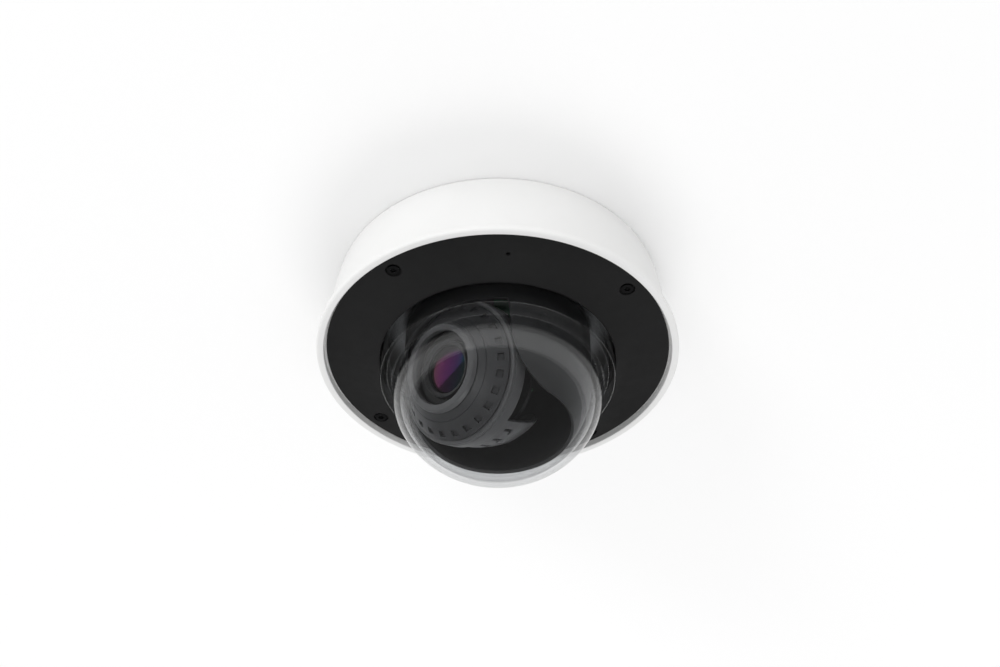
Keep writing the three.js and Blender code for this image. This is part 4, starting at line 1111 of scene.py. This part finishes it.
def makeFrontShell():
    # ball front: (R sin a cos t, R sin a sin t, R cos a) with R lowered in the notches and in the seam
    h = head
    ball = h["ball"]
    rimAngle, faceAngle = math.asin(h["rim"] / ball), math.asin(h["face"] / ball)
    notchAngle = math.asin((h["rim"] - h["notchIn"]) / ball)
    seamAngle = math.asin(h["seam"] / ball)
    halfLong = h["notchLong"] / 2 / ball
    soft = 0.05 / ball
    special = []
    for middle, half in ((notchAngle, halfLong), (seamAngle, h["seamWidth"] / 2 / ball)):
        special += [middle - half - soft, middle - half + soft, middle + half - soft, middle + half + soft]
    a = np.unique(np.concatenate([np.linspace(rimAngle, faceAngle, 46), special]))[::-1]
    pitch = 2 * math.pi / h["notches"]
    halfWide = h["notchWidth"] / 2 / (h["rim"] - h["notchIn"])
    softT = 0.05 / h["rim"]
    cell = np.array([-0.5, -0.42, -0.34, -0.28]) * pitch
    cell = np.concatenate([cell, [-halfWide - softT, -halfWide + softT, -halfWide / 3, halfWide / 3,
                                  halfWide - softT, halfWide + softT], -cell[::-1][:-1]])
    t = (np.arange(h["notches"])[:, None] * pitch + cell[None, :]).reshape(-1)
    within = np.tile(cell, h["notches"])
    lowered = h["notchDepth"] * box01(a[:, None], notchAngle - halfLong, notchAngle + halfLong, 2 * soft) * \
        box01(within[None, :], -halfWide, halfWide, 2 * softT)
    lowered = lowered + h["seamDepth"] * box01(a[:, None], seamAngle - h["seamWidth"] / 2 / ball,
                                               seamAngle + h["seamWidth"] / 2 / ball, 2 * soft)
    radius = ball - lowered
    front = np.stack([radius * np.sin(a)[:, None] * np.cos(t), radius * np.sin(a)[:, None] * np.sin(t),
                      radius * np.cos(a)[:, None] * np.ones_like(t)], -1)
    rimZ, faceZ = ball * math.cos(rimAngle), ball * math.cos(faceAngle)
    insideRim = h["skirt"] - h["skirtWall"]
    inner = ball - h["skirtWall"]
    b = np.linspace(math.asin((h["face"] - 1) / inner), math.asin(insideRim / inner), 14)
    rest = np.concatenate([
        rounded([(h["face"], faceZ, 0), (h["bore"], faceZ, 0.3), (h["bore"], faceZ - h["skirtWall"], 0.1),
                 (h["face"] - 1, faceZ - h["skirtWall"], 0)], 4)[1:-1],
        np.column_stack([inner * np.sin(b), inner * np.cos(b)]),
        rounded([(insideRim, rimZ - 3, 0), (insideRim, h["skirtBack"], 0.3),
                 (h["skirt"], h["skirtBack"], 0.3), (h["skirt"], rimZ - h["rimThick"], 0.1),
                 (h["rim"], rimZ - h["rimThick"], 0.15),
                 (h["rim"], rimZ - 0.05, 0)], 4)[1:]])
    back = np.stack([rest[:, 0, None] * np.cos(t), rest[:, 0, None] * np.sin(t),
                     rest[:, 1, None] * np.ones_like(t)], -1)
    verts = np.concatenate([front, back]).reshape(-1, 3)
    makePiece("frontShell", verts, gridFaces(len(a) + len(rest), len(t), closeRows=True), headPlace,
              "lens_head", headPlastic, ("front_shell",), 35)


lens = {
    "bezelBore": 16.6,
    "baffleBore": 13.7,
    "barrelBore": 9.4,
    "barrelRadius": 10.6,
    "noseLong": 6.0,
    "ridges": 4,
    "ridgeRadius": 12.75,
    "ridgeStep": 0.42,       # each ridge is this much narrower than the one in front
    "ridgePitch": 0.34,
    "seatRadius": 11.4,
    "seatFront": 2.2,        # both behind the nose's front
    "seatFloor": 4.8,
    "hidden": (              # piece, place on the axis, radius, bulge
        ("middleLens", 26.5, 9.0, 1.6), ("innerLens", 21.0, 9.0, -1.3)),
}


def makeBezelAndLens():
    # rings turned about the lens axis; the lenses' faces are (r cos t, b sin t) or parabolas
    bezelLow, bezelHigh = extent("front_bezel", headPlace)
    b0, b1, outer = bezelLow[2], bezelHigh[2], bezelHigh[0]
    turnedPiece("frontBezel", rounded([
        (lens["bezelBore"], b0, 0.2), (outer, b0, 0.2), (outer - 0.9, b1, 0.9),
        (lens["bezelBore"] + 0.3, b1, 0.35)], 7),
        headPlace, "lens_head", trimPlastic, ("front_bezel",), 192)
    low, high = extent("lens_baffle", headPlace)
    turnedPiece("lensBaffle", rounded([
        (lens["baffleBore"], low[2], 0.2), (high[0], low[2], 0.2), (high[0], high[2], 0.2),
        (lens["baffleBore"], high[2], 0.2)], 4),
        headPlace, "lens_head", sealRubber, ("lens_baffle",), 160)
    low, high = extent("lens_barrel", headPlace)
    z0, z1, nozzle = low[2], high[2], high[0]
    noseZ, seatZ, floorZ = z1 - lens["noseLong"], z1 - lens["seatFront"], z1 - lens["seatFloor"]
    ridges = []
    for i in range(lens["ridges"]):
        r, z = lens["ridgeRadius"] - lens["ridgeStep"] * i, z1 - 0.15 - lens["ridgePitch"] * i
        ridges += [(r, z, 0.08), (r - 0.28, z + 0.02, 0.08), (r - 0.3, z - 0.3, 0.06)]
    turnedPiece("lensBarrel", rounded([
        (lens["barrelBore"], z0, 0.2), (lens["barrelRadius"], z0, 0.2), (lens["barrelRadius"], noseZ, 0.2),
        (nozzle, noseZ, 0.3), (nozzle, z1, 0.25), *ridges, (lens["seatRadius"], seatZ, 0.1),
        (lens["seatRadius"], floorZ, 0.1), (lens["barrelBore"], floorZ, 0.1)], 4),
        headPlace, "lens_head", platePlastic, ("lens_barrel",), 160)
    low, high = extent("front_lens", headPlace)
    t = np.linspace(0, math.pi / 2, 28)
    crown = np.column_stack([high[0] * np.cos(t), low[2] + 1.6 + (high[2] - low[2] - 1.6) * np.sin(t)])
    crown[-1, 0] = 0
    hollow = np.linspace(0, 1, 16)
    under = np.column_stack([high[0] * 0.82 * hollow, low[2] + 0.9 * (1 - hollow ** 2)])
    turnedPiece("frontLens", np.concatenate([under, [[high[0], low[2]]], crown]), headPlace, "lens_head",
                frontGlass, ("front_lens",), 128, 60)
    low, high = extent("rear_lens", headPlace)
    middle, half = (low[2] + high[2]) / 2, (high[2] - low[2]) / 2
    t = np.linspace(-math.pi / 2, math.pi / 2, 36)
    shape = np.column_stack([high[0] * np.cos(t), middle + half * np.sin(t)])
    shape[[0, -1], 0] = 0
    turnedPiece("rearLens", shape, headPlace, "lens_head", rearGlass, ("rear_lens",), 96, 60)
    for name, place, radius, bulge in lens["hidden"]:
        t = np.linspace(0, 1, 20)
        face = np.column_stack([radius * t, place + bulge * (1 - t ** 2)])
        rear = np.column_stack([radius * t, place - 1.2 - 0.5 * bulge * (1 - t ** 2)])
        turnedPiece(name, np.concatenate([rear, face[::-1]]), headPlace, "lens_head",
                    rearGlass, (), 96, 60)


iris = {"blades": 6, "hole": 3.2, "outer": 9.0, "back": 18.6, "step": 0.25, "sweep": 0.9, "thick": 0.5}


def makeIris():
    # curved blades round a small aperture; z rises by a step across each blade,
    # back + step ((t blades / 2 pi + sweep (r - hole) / (outer - hole)) mod 1)
    s = iris
    t = np.linspace(0, 2 * math.pi, 96, endpoint=False)
    r = np.linspace(s["hole"], s["outer"], 18)[:, None]
    turn = t * s["blades"] / (2 * math.pi) + s["sweep"] * (r - s["hole"]) / (s["outer"] - s["hole"])
    top = np.stack([r * np.cos(t), r * np.sin(t), s["back"] + s["step"] * np.mod(turn, 1)], -1)
    low = top - [0, 0, s["thick"]]
    verts = np.concatenate([top, low[::-1]]).reshape(-1, 3)
    makePiece("irisBlades", verts, gridFaces(36, 96, closeRows=True), headPlace, "lens_head",
              chipBlack, (), 20)


makeFrontShell()
makeBezelAndLens()
makeIris()
for node, name, slotName, material in (
        ("lens_carrier", "lensCarrier", "black_plastic", platePlastic),
        ("lens_mount", "lensMount", "black_plastic", platePlastic),
        ("filter_slider", "filterSlider", "black_plastic", chipBlack),
        ("image_sensor", "imageSensor", "lens_glass", rearGlass),
        ("sensor_board", "sensorBoard", "circuit_board", boardGreen),
        ("zoom_ring", "zoomRing", "gear_plastic", gearAcetal),
        ("focus_ring", "focusRing", "gear_plastic", gearAcetal),
        ("zoom_pinion", "zoomPinion", "gear_plastic", gearAcetal),
        ("focus_pinion", "focusPinion", "gear_plastic", gearAcetal)):
    refined(node, name, material, 0.12)

motor = {"radius": 3.3, "band": 3.15, "bandFrom": 6.2, "bandTo": 6.7, "bore": 1.1, "boreDeep": 3.0}


def motorOutline(a, b):
    # can with a shallow band round it and a blind bore at its front
    m = motor
    return [(0, a, 0), (m["radius"], a, 0.5), (m["radius"], a + m["bandFrom"], 0.1),
            (m["band"], a + m["bandFrom"] + 0.1, 0.1), (m["band"], a + m["bandTo"] - 0.1, 0.1),
            (m["radius"], a + m["bandTo"], 0.1), (m["radius"], b, 0.4), (m["bore"], b, 0.1),
            (m["bore"], b - m["boreDeep"], 0), (0, b - m["boreDeep"], 0)]


for node, name in (("zoom_motor", "zoomMotor"), ("focus_motor", "focusMotor")):
    turnedFrom(node, name, motorOutline, "lens_head", zincSteel, headPlace, 64)
print("lens head done")

# two small lamps that light only what is inside the dome, so that they don't show as discs in it
inside = bpy.data.collections.new("insideDome")
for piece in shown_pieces():
    if body_of(piece) and body_of(piece)[0] not in ("housing", "card", "button"):
        inside.objects.link(piece)
softLight("headLight", (-0.55, -0.75, -0.75), (0, 0, -0.06), 0.25, 1.6, onto=inside)
softLight("shroudLight", (0.35, 0.25, -1.2), (0, 0, -0.06), 0.5, 2.5, onto=inside)
